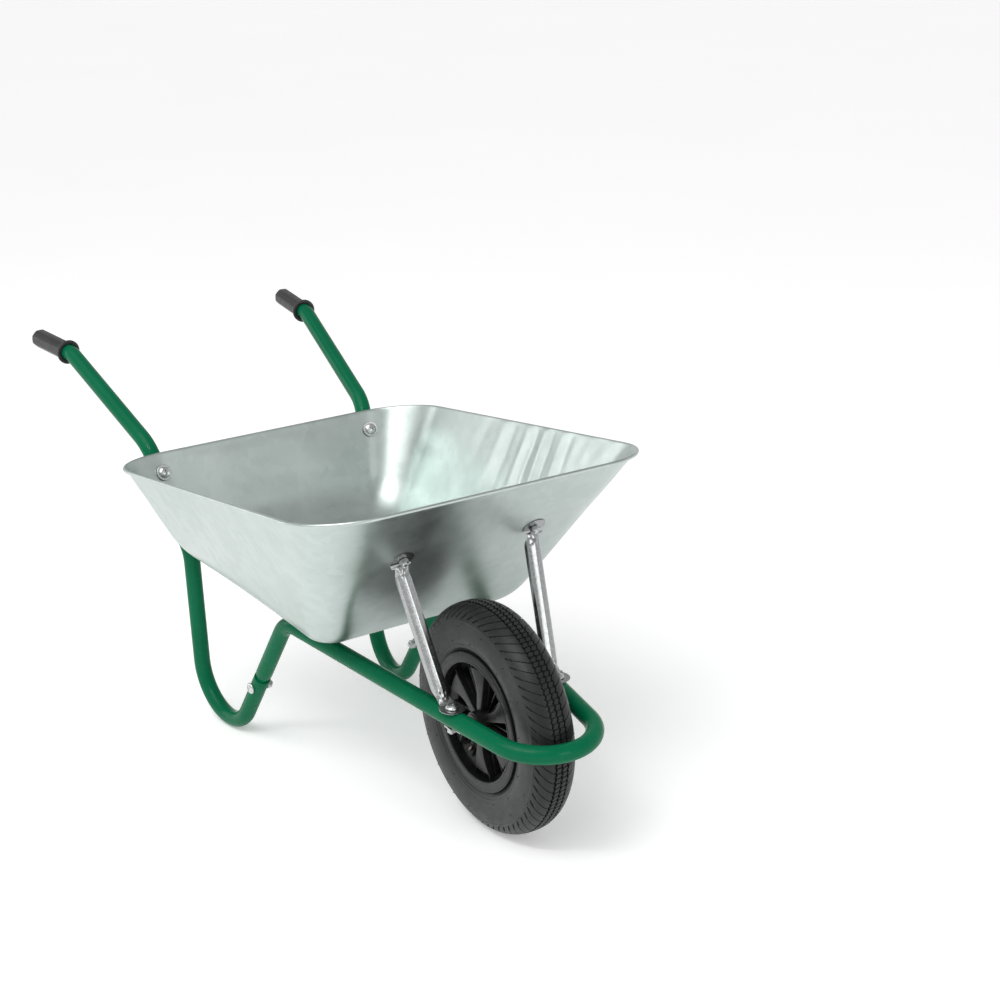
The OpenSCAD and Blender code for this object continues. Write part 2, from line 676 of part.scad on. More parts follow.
pan();
front_frame();
handle_leg(right);  // handle_leg_right
handle_leg(left);  // handle_leg_left
grip(right);  // grip_right
grip(left);  // grip_left
stay(right);  // stay_right
stay(left);  // stay_left
axle_bracket(right);  // axle_bracket_right
axle_bracket(left);  // axle_bracket_left
axle();
axle_spacers();
axle_nuts();
tyre();
inner_tube();
wheel_centre();
hub_bush(right);  // hub_bush_right
hub_bush(left);  // hub_bush_left
valve_stem();
valve_cap();
rear_panel_bolts();
rear_panel_washers();
rear_panel_nuts();
stay_top_bolts();
stay_top_washers();
stay_top_nuts();
stay_foot_bolts();
stay_foot_nuts();
leg_joint_bolts();
leg_joint_washers();
leg_joint_nuts();
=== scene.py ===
"""Looks of the wheelbarrow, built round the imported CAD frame.

Shapes are worked out in millimetres with x measured from the axle (+X ahead, +Y the operator's left, +Z up
from the ground) and are turned into the frame's metres as each mesh is made.
"""

import math
import random

import bmesh
import bpy
from mathutils import Matrix, Vector, noise


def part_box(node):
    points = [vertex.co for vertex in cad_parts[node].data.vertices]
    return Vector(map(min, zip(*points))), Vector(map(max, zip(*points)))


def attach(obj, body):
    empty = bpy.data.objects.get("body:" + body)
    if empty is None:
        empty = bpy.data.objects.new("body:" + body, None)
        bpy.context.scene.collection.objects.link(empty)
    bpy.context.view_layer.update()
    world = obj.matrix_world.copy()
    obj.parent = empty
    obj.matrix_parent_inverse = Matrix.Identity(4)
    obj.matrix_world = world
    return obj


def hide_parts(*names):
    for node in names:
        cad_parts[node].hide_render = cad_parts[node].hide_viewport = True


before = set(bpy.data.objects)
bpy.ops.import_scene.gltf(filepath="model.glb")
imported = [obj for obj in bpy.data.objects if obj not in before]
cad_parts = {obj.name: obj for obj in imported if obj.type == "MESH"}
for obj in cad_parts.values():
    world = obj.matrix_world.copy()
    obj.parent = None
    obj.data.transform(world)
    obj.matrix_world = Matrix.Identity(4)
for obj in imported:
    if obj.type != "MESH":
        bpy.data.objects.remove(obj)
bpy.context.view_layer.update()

MM = 0.001
AXLE_X = sum(corner.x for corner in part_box("axle")) / 2
WHEEL_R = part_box("tyre")[1].z / MM / 2
WELD = 0.002  # points nearer than this are one
SIDES = (-1, "right"), (1, "left")
rng = random.Random(11)


# ---- geometry helpers
def vec(x, y, z):
    return Vector((x, y, z))


def unit(v):
    return v.normalized()


def mix(a, b, t):
    return a + (b - a) * t


def clamp(x):
    return min(1.0, max(0.0, x))


def smooth_step(low, high, x):
    t = clamp((x - low) / (high - low))
    return t * t * (3 - 2 * t)


def wave(x):
    """Triangle wave of period 1 between 1 and -1."""
    x = x % 1.0
    return 1 - 4 * x if x < 0.5 else 4 * x - 3


def curve(a, b, c, t):
    """A point of the curve from a to c that is drawn towards b."""
    return a * (1 - t) ** 2 + b * 2 * t * (1 - t) + c * t * t


def flip(p, side):
    return vec(p.x, p.y * side, p.z)


def polar(r, t, h):
    return vec(r * math.cos(t), r * math.sin(t), h)


def turns(n):
    """n equal steps round a circle."""
    return [math.tau * k / n for k in range(n)]


def heading(points, i):
    """Direction of a line of points at point i."""
    return unit(points[min(i + 1, len(points) - 1)] - points[max(i - 1, 0)])


class Shell:
    """Points and faces of one mesh, in millimetres."""

    def __init__(self):
        self.points, self.faces = [], []

    def ring(self, points):
        start = len(self.points)
        self.points.extend(points)
        return range(start, len(self.points))

    def band(self, low, high, closed=True):
        n = len(low)
        for i in range(n if closed else n - 1):
            j = (i + 1) % n
            self.faces.append((low[i], low[j], high[j], high[i]))

    def loft(self, rings, closed=True, start=True, end=True, loop=False):
        """Joins rings of points; start and end cap the ends, and loop joins the last ring to the first."""
        made = [self.ring(r) for r in rings]
        for low, high in zip(made, made[1:]):
            self.band(low, high, closed)
        if loop:
            self.band(made[-1], made[0], closed)
        if start and not loop:
            self.faces.append(tuple(reversed(made[0])))
        if end and not loop:
            self.faces.append(tuple(made[-1]))
        return made

    def place(self, other, matrix):
        """Adds another shell, moved by a matrix in millimetres."""
        start = len(self.points)
        self.points.extend(matrix @ p for p in other.points)
        turned = matrix.determinant() < 0
        for face in other.faces:
            face = tuple(start + i for i in face)
            self.faces.append(tuple(reversed(face)) if turned else face)
        return self


def lofted(rings, **ends):
    shell = Shell()
    shell.loft(rings, **ends)
    return shell


def together(*shells):
    whole = Shell()
    for shell in shells:
        whole.place(shell, Matrix.Identity(4))
    return whole


def thicken(thing, thickness):
    sheet = thing.modifiers.new("thickness", "SOLIDIFY")
    sheet.thickness = thickness * MM
    sheet.offset = 0
    sheet.use_even_offset = True
    return sheet


def break_edges(thing, width, angle, harden=True):
    edge = thing.modifiers.new("edges", "BEVEL")
    edge.width, edge.segments = width * MM, 2
    edge.limit_method, edge.angle_limit = "ANGLE", math.radians(angle)
    edge.harden_normals = harden


def mesh_of(shell, name, scale, shift, weld):
    """A mesh of a shell, its doubled points joined and its faces turned outward."""
    mesh = bpy.data.meshes.new(name)
    points = [(p.x * scale + shift, p.y * scale, p.z * scale) for p in shell.points]
    mesh.from_pydata(points, [], [tuple(f) for f in shell.faces])
    work = bmesh.new()
    work.from_mesh(mesh)
    bmesh.ops.remove_doubles(work, verts=work.verts, dist=weld)
    bmesh.ops.recalc_face_normals(work, faces=work.faces)
    work.to_mesh(mesh)
    work.free()
    return mesh


def shown(name, data):
    """A new object in the scene."""
    thing = bpy.data.objects.new(name, data)
    bpy.context.scene.collection.objects.link(thing)
    return thing


def piece(name, shell, finish, body, nodes, crease=35):
    """Turns a shell into an object that rides on a body and stands for CAD nodes."""
    mesh = mesh_of(shell, name, MM, AXLE_X, WELD * MM)
    mesh.validate()
    mesh.shade_smooth()
    mesh.set_sharp_from_angle(angle=math.radians(crease))
    thing = shown(name, mesh)
    mesh.materials.append(finish)
    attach(thing, body)
    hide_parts(*nodes)
    return thing


def basis(place, x_axis, y_axis, z_axis):
    m = Matrix((x_axis, y_axis, z_axis)).transposed().to_4x4()
    m.translation = place
    return m


def facing(place, z_axis, hint=Vector((1, 0, 0))):
    """A matrix whose z axis is z_axis and whose x axis lies as near to hint as it can."""
    z_axis = unit(z_axis)
    x_axis = unit(hint - z_axis * hint.dot(z_axis))
    return basis(place, x_axis, z_axis.cross(x_axis), z_axis)


def lathe(profile, steps):
    """A ring turned round z from a closed profile of (radius, height) points."""
    return lofted([[polar(r, t, h) for r, h in profile] for t in turns(steps)], loop=True)


def rounded(corners, radii, steps=4):
    """Rounds the corners of a closed outline of (x, y) points, each by its own radius."""
    out = []
    for i, (corner, radius) in enumerate(zip(corners, radii)):
        p, a, b = Vector(corner), Vector(corners[i - 1]), Vector(corners[(i + 1) % len(corners)])
        da, db = (a - p).normalized(), (b - p).normalized()
        reach = min(radius, (a - p).length * 0.45, (b - p).length * 0.45)
        for k in range(steps + 1):
            out.append(tuple(curve(p + da * reach, p, p + db * reach, k / steps)))
    return out


# ---- materials
class Finish:
    """A procedural material: one Principled shader and the nodes that vary its colour, gloss and relief."""

    def __init__(self, name, metallic=0.0, **sockets):
        self.material = bpy.data.materials.new(name)
        self.material.use_nodes = True
        self.tree = self.material.node_tree
        self.shader = self.tree.nodes["Principled BSDF"]
        self.shader.inputs["Metallic"].default_value = metallic
        for key, value in sockets.items():
            self.shader.inputs[key.replace("_", " ")].default_value = value
        self.place = self.tree.nodes.new("ShaderNodeTexCoord").outputs["Object"]
        self.relief = None

    def link(self, source, target):
        self.tree.links.new(source, target)

    def node(self, kind, output, links, **values):
        """Adds a shader node, with links and values for its inputs by name."""
        made = self.tree.nodes.new("ShaderNode" + kind)
        for name, value in values.items():
            made.inputs[name.replace("_", " ")].default_value = value
        for name, source in links.items():
            self.link(source, made.inputs[name])
        return made.outputs[output]

    def stretched(self, scale):
        return self.node("Mapping", "Vector", {"Vector": self.place}, Scale=scale)

    def noise(self, size, detail=3.0, rough=0.55, place=None):
        """Noise with features of about the given size in millimetres."""
        at = {"Vector": place or self.place}
        return self.node("TexNoise", "Fac", at, Scale=1 / (size * MM), Detail=detail, Roughness=rough)

    def cells(self, size):
        return self.node("TexVoronoi", "Color", {"Vector": self.place}, Scale=1 / (size * MM))

    def ramp(self, source, stops):
        node = self.tree.nodes.new("ShaderNodeValToRGB")
        marks = node.color_ramp.elements
        while len(marks) < len(stops):
            marks.new(0.5)
        for mark, (place, colour) in zip(marks, stops):
            mark.position = place
            mark.color = (*colour, 1)
        self.link(source, node.inputs["Fac"])
        return node.outputs["Color"]

    def span(self, source, low, high, from_low=0.0, from_high=1.0):
        return self.node("MapRange", "Result", {"Value": source}, From_Min=from_low, From_Max=from_high,
                         To_Min=low, To_Max=high)

    def vectors(self, kind, a, b=None, output="Vector"):
        node = self.tree.nodes.new("ShaderNodeVectorMath")
        node.operation = kind
        self.link(a, node.inputs[0])
        if kind == "SCALE":
            self.link(b, node.inputs["Scale"])
        elif b:
            node.inputs[1].default_value = b
        return node.outputs[output]

    def added(self, a, b):
        node = self.tree.nodes.new("ShaderNodeMath")
        self.link(a, node.inputs[0])
        self.link(b, node.inputs[1])
        return node.outputs["Value"]

    def multiplied(self, share, a, b):
        """Colour a multiplied by colour b, by the given share."""
        node = self.tree.nodes.new("ShaderNodeMix")
        node.data_type, node.blend_type = "RGBA", "MULTIPLY"
        sockets = {s.name: s for s in node.inputs if s.enabled}
        sockets["Factor"].default_value = share
        self.link(a, sockets["A"])
        self.link(b, sockets["B"])
        return [s for s in node.outputs if s.enabled][0]

    def color(self, source):
        self.link(source, self.shader.inputs["Base Color"])

    def roughness(self, source):
        self.link(source, self.shader.inputs["Roughness"])

    def bump(self, source, depth, strength):
        """Relief of the given depth in millimetres, laid over any relief already there."""
        below = {"Normal": self.relief} if self.relief else {}
        self.relief = self.node("Bump", "Normal", {"Height": source, **below}, Distance=depth * MM,
                                Strength=strength)
        self.link(self.relief, self.shader.inputs["Normal"])


def galvanised_sheet():
    f = Finish("galvanised_sheet", metallic=1.0)
    cells = f.cells(16)
    spangle = f.ramp(cells, [(0.15, (0.505, 0.565, 0.545)), (0.85, (0.55, 0.61, 0.59))])
    clouds = f.ramp(f.noise(190, 3), [(0.3, (0.88, 0.9, 0.89)), (0.7, (1.0, 1.0, 1.0))])
    f.color(f.multiplied(0.8, spangle, clouds))
    haze = f.span(f.noise(75, 3, 0.5), 0.31, 0.4, 0.3, 0.7)
    f.roughness(f.added(haze, f.span(cells, -0.012, 0.012)))
    f.bump(f.noise(30, 2), 0.1, 0.5)
    return f.material


def green_paint():
    f = Finish("green_paint", Coat_Weight=0.13, Coat_Roughness=0.05, Specular_IOR_Level=0.04)
    tone = f.ramp(f.noise(120, 3), [(0.25, (0.0, 0.104, 0.044)), (0.75, (0.001, 0.132, 0.057))])
    specks = f.ramp(f.noise(1.3, 2), [(0.66, (1, 1, 1)), (0.78, (0.75, 0.78, 0.76))])
    f.color(f.multiplied(0.5, tone, specks))
    f.roughness(f.span(f.noise(12, 3), 0.2, 0.3, 0.3, 0.7))
    f.bump(f.noise(2.6, 2), 0.02, 0.5)
    return f.material


def plain(name, shades, grain, gloss, gloss_grain, relief, **sockets):
    """One stuff between two shades; relief is its noise settings, depth and strength."""
    f = Finish(name, **sockets)
    f.color(f.ramp(f.noise(*grain), [(0.3, shades[0]), (0.7, shades[1])]))
    f.roughness(f.span(f.noise(*gloss_grain), *gloss))
    f.bump(f.noise(*relief[0]), *relief[1:])
    return f.material


def zinc(name, light, grain, dull):
    dark = light * 0.74
    return plain(name, ((dark * 0.97, dark, dark), (light * 0.97, light, light)), (grain, 4, 0.65),
                 (*dull, 0.3, 0.7), (grain * 2, 4, 0.6), ((grain * 0.7, 3), 0.05, 0.5), metallic=1.0)


def turned_steel():
    f = Finish("turned_steel", metallic=1.0)
    rings = f.noise(1.2, 2, place=f.stretched((6, 1, 6)))
    f.color(f.ramp(rings, [(0.3, (0.40, 0.41, 0.42)), (0.7, (0.58, 0.59, 0.60))]))
    f.roughness(f.span(rings, 0.22, 0.4))
    f.bump(rings, 0.02, 0.4)
    return f.material


def tyre_rubber():
    f = Finish("tyre_rubber", Sheen_Weight=0.05, Sheen_Roughness=0.5, Specular_IOR_Level=0.3)
    # The tread is darker than the sides; it is told apart by its distance from the axle.
    from_axle = f.vectors("SUBTRACT", f.place, (AXLE_X, 0, WHEEL_R * MM))
    in_plane = f.vectors("MULTIPLY", from_axle, (1, 0, 1))
    tread = f.span(f.vectors("LENGTH", in_plane, output="Value"), 1.0, 0.42, 0.164, 0.178)
    side = f.ramp(f.noise(35, 4, 0.6), [(0.25, (0.02, 0.0222, 0.0215)), (0.75, (0.034, 0.0372, 0.0362))])
    grain = f.ramp(f.noise(2.2, 3), [(0.3, (0.8, 0.8, 0.8)), (0.7, (1, 1, 1))])
    f.color(f.vectors("SCALE", f.multiplied(0.75, side, grain), tread))
    f.roughness(f.span(f.noise(9, 4, 0.6), 0.36, 0.52, 0.3, 0.7))
    f.bump(f.noise(1.4, 3), 0.05, 0.5)
    f.bump(f.noise(16, 2), 0.12, 0.35)
    return f.material


def moulded(name, low, high, gloss, grain, depth):
    """Moulded plastic or rubber between two grey levels."""
    tint = 1.03
    shades = (low, low, low * tint), (high, high, high * tint)
    return plain(name, shades, (22, 4, 0.6), (*gloss, 0.3, 0.7), (7, 3), ((grain, 2), depth, 0.6),
                 Specular_IOR_Level=0.36)


SHEET = galvanised_sheet()
PAINT = green_paint()
STAY_ZINC = zinc("stay_zinc", 0.46, 4.0, (0.16, 0.28))
BOLT_ZINC = zinc("bolt_zinc", 0.70, 2.2, (0.2, 0.36))
NUT_ZINC = zinc("nut_zinc", 0.58, 2.8, (0.22, 0.4))
PLATE_ZINC = zinc("plate_zinc", 0.55, 6.0, (0.25, 0.42))
STEEL = turned_steel()
NICKEL = plain("valve_brass", ((0.34, 0.32, 0.28), (0.5, 0.48, 0.43)), (3, 3), (0.22, 0.42), (2, 2),
               ((1.5, 2), 0.02, 0.4), metallic=1.0)
RUBBER = tyre_rubber()
GRIP = moulded("grip_rubber", 0.014, 0.024, (0.34, 0.48), 0.8, 0.03)
WHEEL_BLACK = moulded("wheel_plastic", 0.006, 0.011, (0.26, 0.4), 0.7, 0.02)
CAP_BLACK = moulded("cap_plastic", 0.012, 0.02, (0.3, 0.42), 0.6, 0.02)
TUBE_BLACK = moulded("tube_rubber", 0.015, 0.022, (0.5, 0.65), 1.2, 0.04)
NYLON = plain("bush_nylon", ((0.03, 0.03, 0.032), (0.05, 0.05, 0.052)), (6, 3), (0.35, 0.5), (3, 2),
              ((1.0, 2), 0.02, 0.4), Specular_IOR_Level=0.5)

# ---- frame tubes
TUBE_R = 14.3
TUBE_WALL = 1.5
RUN_HALF, RUN_IN = 101.0, 0.1486  # half width of the run at the axle, and how fast it closes in ahead
RUN_Z, RUN_DOWN = 224.5, 0.1031  # height of the run at the axle, and how fast it drops ahead
RUN_TILT = math.atan(RUN_DOWN)
LOOP_R = 81.01
BEND_STEP, TUBE_SIDES = math.radians(2.5), 48


def run_at(x):
    return vec(x, RUN_HALF - RUN_IN * x, RUN_Z - RUN_DOWN * x)


SADDLE = run_at(-381)
HANDLE_END = vec(-1132.4, 252.2, 619.5)
HANDLE_BEND = vec(-1012, 239.5, 610.5)
KNEE = vec(-760, 213, 489.5)
HEEL = vec(-684, 184, 305.5)
FOOT = vec(-712, 167.7, -161.5)
HANDLE_BEND_R, KNEE_BEND_R, HEEL_BEND_R, SADDLE_BEND_R = 55, 70, 70, 52
foot_up, foot_ahead = unit(HEEL - FOOT), unit(SADDLE - FOOT)
foot_half = foot_up.angle(foot_ahead) / 2
FOOT_BEND_R = (TUBE_R - FOOT.z) / (unit(foot_up + foot_ahead).z / math.sin(foot_half) - 1)
JOINT = mix(FOOT, SADDLE, 0.637)
SLEEVE_END = mix(FOOT, SADDLE, 0.69)
SPIGOT_END = mix(FOOT, SADDLE, 0.54)
SWAGE = mix(FOOT, SADDLE, 0.705)


def bend_points(a, b, c, radius):
    """Points of the circular bend at corner b."""
    into, out = unit(b - a), unit(c - b)
    turn = into.angle(out)
    side = unit(into.cross(out).cross(into))
    start = b - into * radius * math.tan(turn / 2)
    n = max(3, int(turn / BEND_STEP))
    return [start + into * radius * math.sin(turn * k / n) + side * radius * (1 - math.cos(turn * k / n))
            for k in range(n + 1)]


def route(corners, bends):
    points = [corners[0]]
    for a, b, c, radius in zip(corners, corners[1:], corners[2:], bends):
        points += bend_points(a, b, c, radius)
    points.append(corners[-1])
    return points


def filled(points, longest=24.0):
    """The same route with its long straights divided."""
    out = [points[0]]
    for a, b in zip(points, points[1:]):
        n = max(1, math.ceil((b - a).length / longest))
        out += [mix(a, b, k / n) for k in range(1, n + 1)]
    return out


def frames_along(points):
    """Centre, side and normal of a tube's section at each point, without twist."""
    out = []
    side = unit(heading(points, 0).cross(vec(0.3, 0.1, 1)))
    for i, p in enumerate(points):
        along = heading(points, i)
        side = unit(side - along * side.dot(along))
        out.append((p, side, along.cross(side)))
    return out


def tube_rings(points, radii):
    rings = []
    for (p, a, b), r in zip(frames_along(points), radii):
        rings.append([p + (a * math.cos(t) + b * math.sin(t)) * r for t in turns(TUBE_SIDES)])
    return rings


def open_end(shell, ring, centre, inward, radius):
    """Closes a tube's end as a cut mouth: a softened lip, the wall's thickness and the bore inside."""
    depth, lip = 30.0, 0.5
    rays = [unit(q - centre - inward * (q - centre).dot(inward)) for q in (shell.points[i] for i in ring)]
    bore = radius - TUBE_WALL
    mouth = (radius - lip * 0.3, -lip * 0.7), (radius - lip, -lip), (bore + lip * 0.4, -lip), (bore, 0)
    last = ring
    for r, back in (*mouth, (bore, depth)):
        made = shell.ring([centre + ray * r + inward * back for ray in rays])
        shell.band(last, made)
        last = made
    shell.faces.append(tuple(last))


def handle_leg(side):
    corners = [HANDLE_END, HANDLE_BEND, KNEE, HEEL, FOOT, SLEEVE_END]
    points = filled(route(corners, [HANDLE_BEND_R, KNEE_BEND_R, HEEL_BEND_R, FOOT_BEND_R]))
    points[-1] = points[-1] - unit(SLEEVE_END - FOOT) * 0.5
    shell = Shell()
    rings = tube_rings([flip(p, side) for p in points], [TUBE_R] * len(points))
    made = shell.loft(rings, start=True, end=False)
    open_end(shell, made[-1], flip(points[-1], side), flip(unit(FOOT - SLEEVE_END), side), TUBE_R)
    return shell


def loop_points():
    slope = RUN_IN * math.cos(RUN_TILT)
    half = math.pi / 2 - math.atan(slope)
    hub = (RUN_HALF - LOOP_R * math.hypot(1, slope)) / slope
    n = int(2 * half / BEND_STEP)
    out = []
    for k in range(n + 1):
        t = half - 2 * half * k / n
        x = hub + LOOP_R * math.cos(t)
        out.append(vec(x * math.cos(RUN_TILT), LOOP_R * math.sin(t), RUN_Z - x * math.sin(RUN_TILT)))
    return out


def front_frame():
    ahead = unit(SADDLE - FOOT)
    spigot_r = TUBE_R - TUBE_WALL - 0.1
    first = [SPIGOT_END] + [SWAGE + ahead * past for past in (-0.5, 1.5, 4)]
    radii = [spigot_r, spigot_r, TUBE_R - 0.5, TUBE_R]
    rest = bend_points(FOOT, SADDLE, run_at(0), SADDLE_BEND_R) + loop_points()[:1]
    left = first + filled([first[-1]] + rest)[1:]
    radii += [TUBE_R] * (len(left) - len(first))
    loop = loop_points()[1:-1]
    points = left + loop + [flip(p, -1) for p in reversed(left)]
    radii = radii + [TUBE_R] * len(loop) + list(reversed(radii))
    return lofted(tube_rings(points, radii))


for side, name in SIDES:
    piece("handle_tube_" + name, handle_leg(side), PAINT, "frame", ["handle_leg_" + name])
piece("front_tube", front_frame(), PAINT, "frame", ["front_frame"])

# ---- grips
GRIP_LEN, GRIP_R, COLLAR_R = 117.9, 17.0, 22.0
FLUTES, FLUTE_DEPTH = 8, 0.95


def grip(side):
    axis = unit(HANDLE_END - HANDLE_BEND)
    turn = (HANDLE_END - HANDLE_BEND).angle(HANDLE_BEND - KNEE)
    start = HANDLE_BEND_R * math.tan(turn / 2) + 1
    place = facing(HANDLE_BEND + axis * start, axis, vec(0, 0, 1))
    # Radius, place along the grip and depth of the flutes there.
    stations = [
        (TUBE_R + 0.15, 6.0, 0), (TUBE_R + 0.15, 0.5, 0), (TUBE_R + 0.6, 0.0, 0), (COLLAR_R - 1.6, 0.0, 0),
        (COLLAR_R - 0.5, 0.5, 0), (COLLAR_R, 1.6, 0), (COLLAR_R, 3.4, 0), (COLLAR_R - 0.5, 4.6, 0),
        (COLLAR_R - 1.8, 5.2, 0), (GRIP_R + 2.2, 5.8, 0.2), (GRIP_R + 0.7, 7.4, 0.6), (GRIP_R, 10.5, 1),
    ]
    stations += [(GRIP_R, h, 1) for h in range(16, 106, 6)]
    nose = 8
    for degrees in range(0, 91, 9):
        c, s = math.cos(math.radians(degrees)), math.sin(math.radians(degrees))
        stations.append((GRIP_R - nose + nose * c, GRIP_LEN - nose + nose * s, c))
    # Each face of the grip is nearly flat, and a rounded rib runs between two faces.
    rings = [[polar(r - FLUTE_DEPTH * flute * abs(math.cos(t * FLUTES / 2)) ** 0.7, t, h) for t in turns(96)]
             for r, h, flute in stations]
    return Shell().place(lofted(rings), Matrix.Scale(side, 4, vec(0, 1, 0)) @ place)


for side, name in SIDES:
    piece("hand_grip_" + name, grip(side), GRIP, "frame", ["grip_" + name], crease=50)

# ---- pan
SHEET_T = 1.2
CURL_R = 2.4  # middle of the sheet in the rolled rim
BEAD_R = CURL_R + SHEET_T / 2
RIM_REAR, RIM_REAR_Z, RIM_FRONT, RIM_FRONT_Z = -738.3, 477.0, 42.0, 562.0
RIM_HALF, RIM_CORNER_R = 303.5, 105.0
FLOOR_REAR_HALF, FLOOR_FRONT_HALF, FLOOR_CORNER_R = 210.0, 183.0, 40.0
FLOOR_FRONT, WALL_BACK, FOLD = -216.0, 0.413, 66.0
FLOOR_Z0 = RUN_Z + TUBE_R / math.cos(RUN_TILT) + 0.2
FLOOR_REAR = (RIM_REAR + WALL_BACK * (RIM_REAR_Z - FLOOR_Z0)) / (1 - WALL_BACK * RUN_DOWN)
RIM_RISE = (RIM_FRONT_Z - RIM_REAR_Z) / (RIM_FRONT - RIM_REAR)
CORNER_STEPS, LONG_STEPS, SHORT_STEPS = 30, 150, 44
HANDLE_GAP, PUSH = 0.4, 1.15  # room left at the handle tubes, and how much further a level push goes
# The sheet is flat within the first of two distances from a bolt or handle tube, and wavy past the second.
CALM_AT_BOLT, CALM_AT_TUBE = (26, 75), (30, 60)
REAR_WALL_X, TUBE_Y, SIDE_WALL_Y = -620, 200, 190
SWELL, RIPPLE = (1.5, 150), (0.35, 55)  # height and breadth of the wall's broad and fine waves
STAY_TOP = vec(-51.52, 117.5, 455)
REAR_BOLT = vec(-722.8, 205.4, 447)


def plan_ring(rear, rear_half, front, front_half, radius, height):
    """Points round the pan, and for each the corner it belongs to and its place past that corner."""
    outline = (rear, rear_half), (rear, -rear_half), (front, -front_half), (front, front_half)
    corners = [Vector(c) for c in outline]
    arcs = []
    for i, p in enumerate(corners):
        da, db = unit(corners[i - 1] - p), unit(corners[(i + 1) % 4] - p)
        half = da.angle(db) / 2
        hub = p + unit(da + db) * radius / math.sin(half)
        first, last = p + da * radius / math.tan(half) - hub, p + db * radius / math.tan(half) - hub
        start = math.atan2(first.y, first.x)
        turn = math.atan2(last.y, last.x) - start
        turn = turn - math.tau if turn > math.pi else turn + math.tau if turn < -math.pi else turn
        arcs.append([hub + Vector((math.cos(a), math.sin(a))) * radius
                     for a in (start + turn * k / CORNER_STEPS for k in range(CORNER_STEPS + 1))])
    points, marks = [], []
    for i, arc in enumerate(arcs):
        points += arc
        marks += [(i, 2 * k / CORNER_STEPS - 1) for k in range(CORNER_STEPS + 1)]
        after = arcs[(i + 1) % 4][0]
        steps = SHORT_STEPS if i % 2 == 0 else LONG_STEPS
        for k in range(1, steps):
            points.append(arc[-1].lerp(after, k / steps))
            near = k / steps < 0.5
            share = k / steps if near else 1 - k / steps
            marks.append((i, 1 + 4 * share) if near else ((i + 1) % 4, -1 - 4 * share))
    return [vec(p.x, p.y, height(p.x)) for p in points], marks


def floor_z(x):
    return FLOOR_Z0 - RUN_DOWN * x


def rim_z(x):
    return RIM_REAR_Z + RIM_RISE * (x - RIM_REAR)


def wrinkle(size, at, spread, lean, low, high, close):
    """Drawing wrinkles of a corner.

    size is in mm. at and spread say where along the wall they lie, low and high between which shares of its
    height, and close how closely they are set.
    """
    waves = [(rng.uniform(*close), rng.uniform(0, math.tau), rng.uniform(0.3, 1)) for _ in range(7)]
    return size, at, spread, lean, low, high, waves


WRINKLES = [
    wrinkle(0.25, 0.0, 1.3, 0.1, 0.1, 0.75, (4, 12)),  # rear left
    wrinkle(1.5, 2.0, 0.8, 0.5, 0.2, 0.85, (9, 20)),  # rear right
    wrinkle(0.2, 0.0, 1.2, 0.1, 0.2, 0.8, (4, 12)),  # front right
    wrinkle(0.4, 0.8, 0.8, 0.12, 0.15, 1.05, (8, 24)),  # front left
]

# Creases of each side wall: x and height of the upper and the lower end, half width, and outward rise.
CREASES = {
    1: [(-455, 495, -478, 400, 17, 0.9), (-408, 492, -424, 385, 13, -0.9), (-374, 500, -388, 372, 11, 1.1),
        (-333, 498, -341, 378, 10, -1.3), (-304, 508, -312, 370, 9, 1.7), (-281, 506, -287, 372, 8, -1.5),
        (-256, 516, -262, 380, 8, 1.3), (-229, 512, -236, 392, 8, -1.1), (-203, 520, -211, 400, 9, 0.9),
        (-148, 524, -158, 420, 13, -0.7)],
    -1: [(-263, 517, -228, 430, 9, 1.5), (-280, 490, -250, 425, 7, -1.3), (-303, 476, -280, 414, 9, 1.3),
         (-345, 490, -322, 420, 12, 0.8)],
}


def crease_relief(p):
    """How far the creases of a side wall push it outward at point p."""
    rise = 0.0
    for x0, z0, x1, z1, width, size in CREASES[1 if p.y > 0 else -1]:
        t = (z0 - p.z) / (z0 - z1)
        if -0.4 < t < 1.4:
            off = (p.x - x0 - (x1 - x0) * t - 2.5 * noise.noise(vec(x0, p.z / 40, 0))) / width
            rise += size * math.exp(-off * off) * smooth_step(-0.4, 0.2, t) * (1 - smooth_step(0.7, 1.4, t))
    return rise


def wall_relief(p, mark, h):
    """How far the wall bulges outward at height share h, in millimetres."""
    corner, s = mark
    size, at, spread, lean, low, high, waves = WRINKLES[corner]
    fade = math.exp(-((s - at) / spread) ** 2) * (1 - smooth_step(2.5, 3.0, abs(s)))
    rise = smooth_step(low, low + 0.3, h) * (1 - smooth_step(high - 0.12, high + 0.12, h) * 0.9)
    total = sum(share * math.sin(f * (s + lean * h) + phase) for f, phase, share in waves)
    # Sharp crests and flat valleys, as a drawn sheet gathers.
    total = math.copysign(abs(total) ** 1.2, total)
    relief = size * 0.55 * fade * rise * total
    middle = smooth_step(0.05, 0.35, h) * (1 - smooth_step(0.8, 0.98, h))
    relief += middle * SWELL[0] * noise.noise(p / SWELL[1])
    relief += middle * RIPPLE[0] * noise.noise(p / RIPPLE[1] + vec(7, 3, 1))
    calm = 1.0
    for side in (-1, 1):
        for bolt in (REAR_BOLT, STAY_TOP):
            calm *= smooth_step(*CALM_AT_BOLT, (p - flip(bolt, side)).length)
        if p.x < REAR_WALL_X:
            calm *= smooth_step(*CALM_AT_TUBE, abs(p.y - side * TUBE_Y))
    side_wall = smooth_step(1.0, 1.3, abs(s)) if abs(p.y) > SIDE_WALL_Y else 0
    return (relief + side_wall * crease_relief(p)) * calm


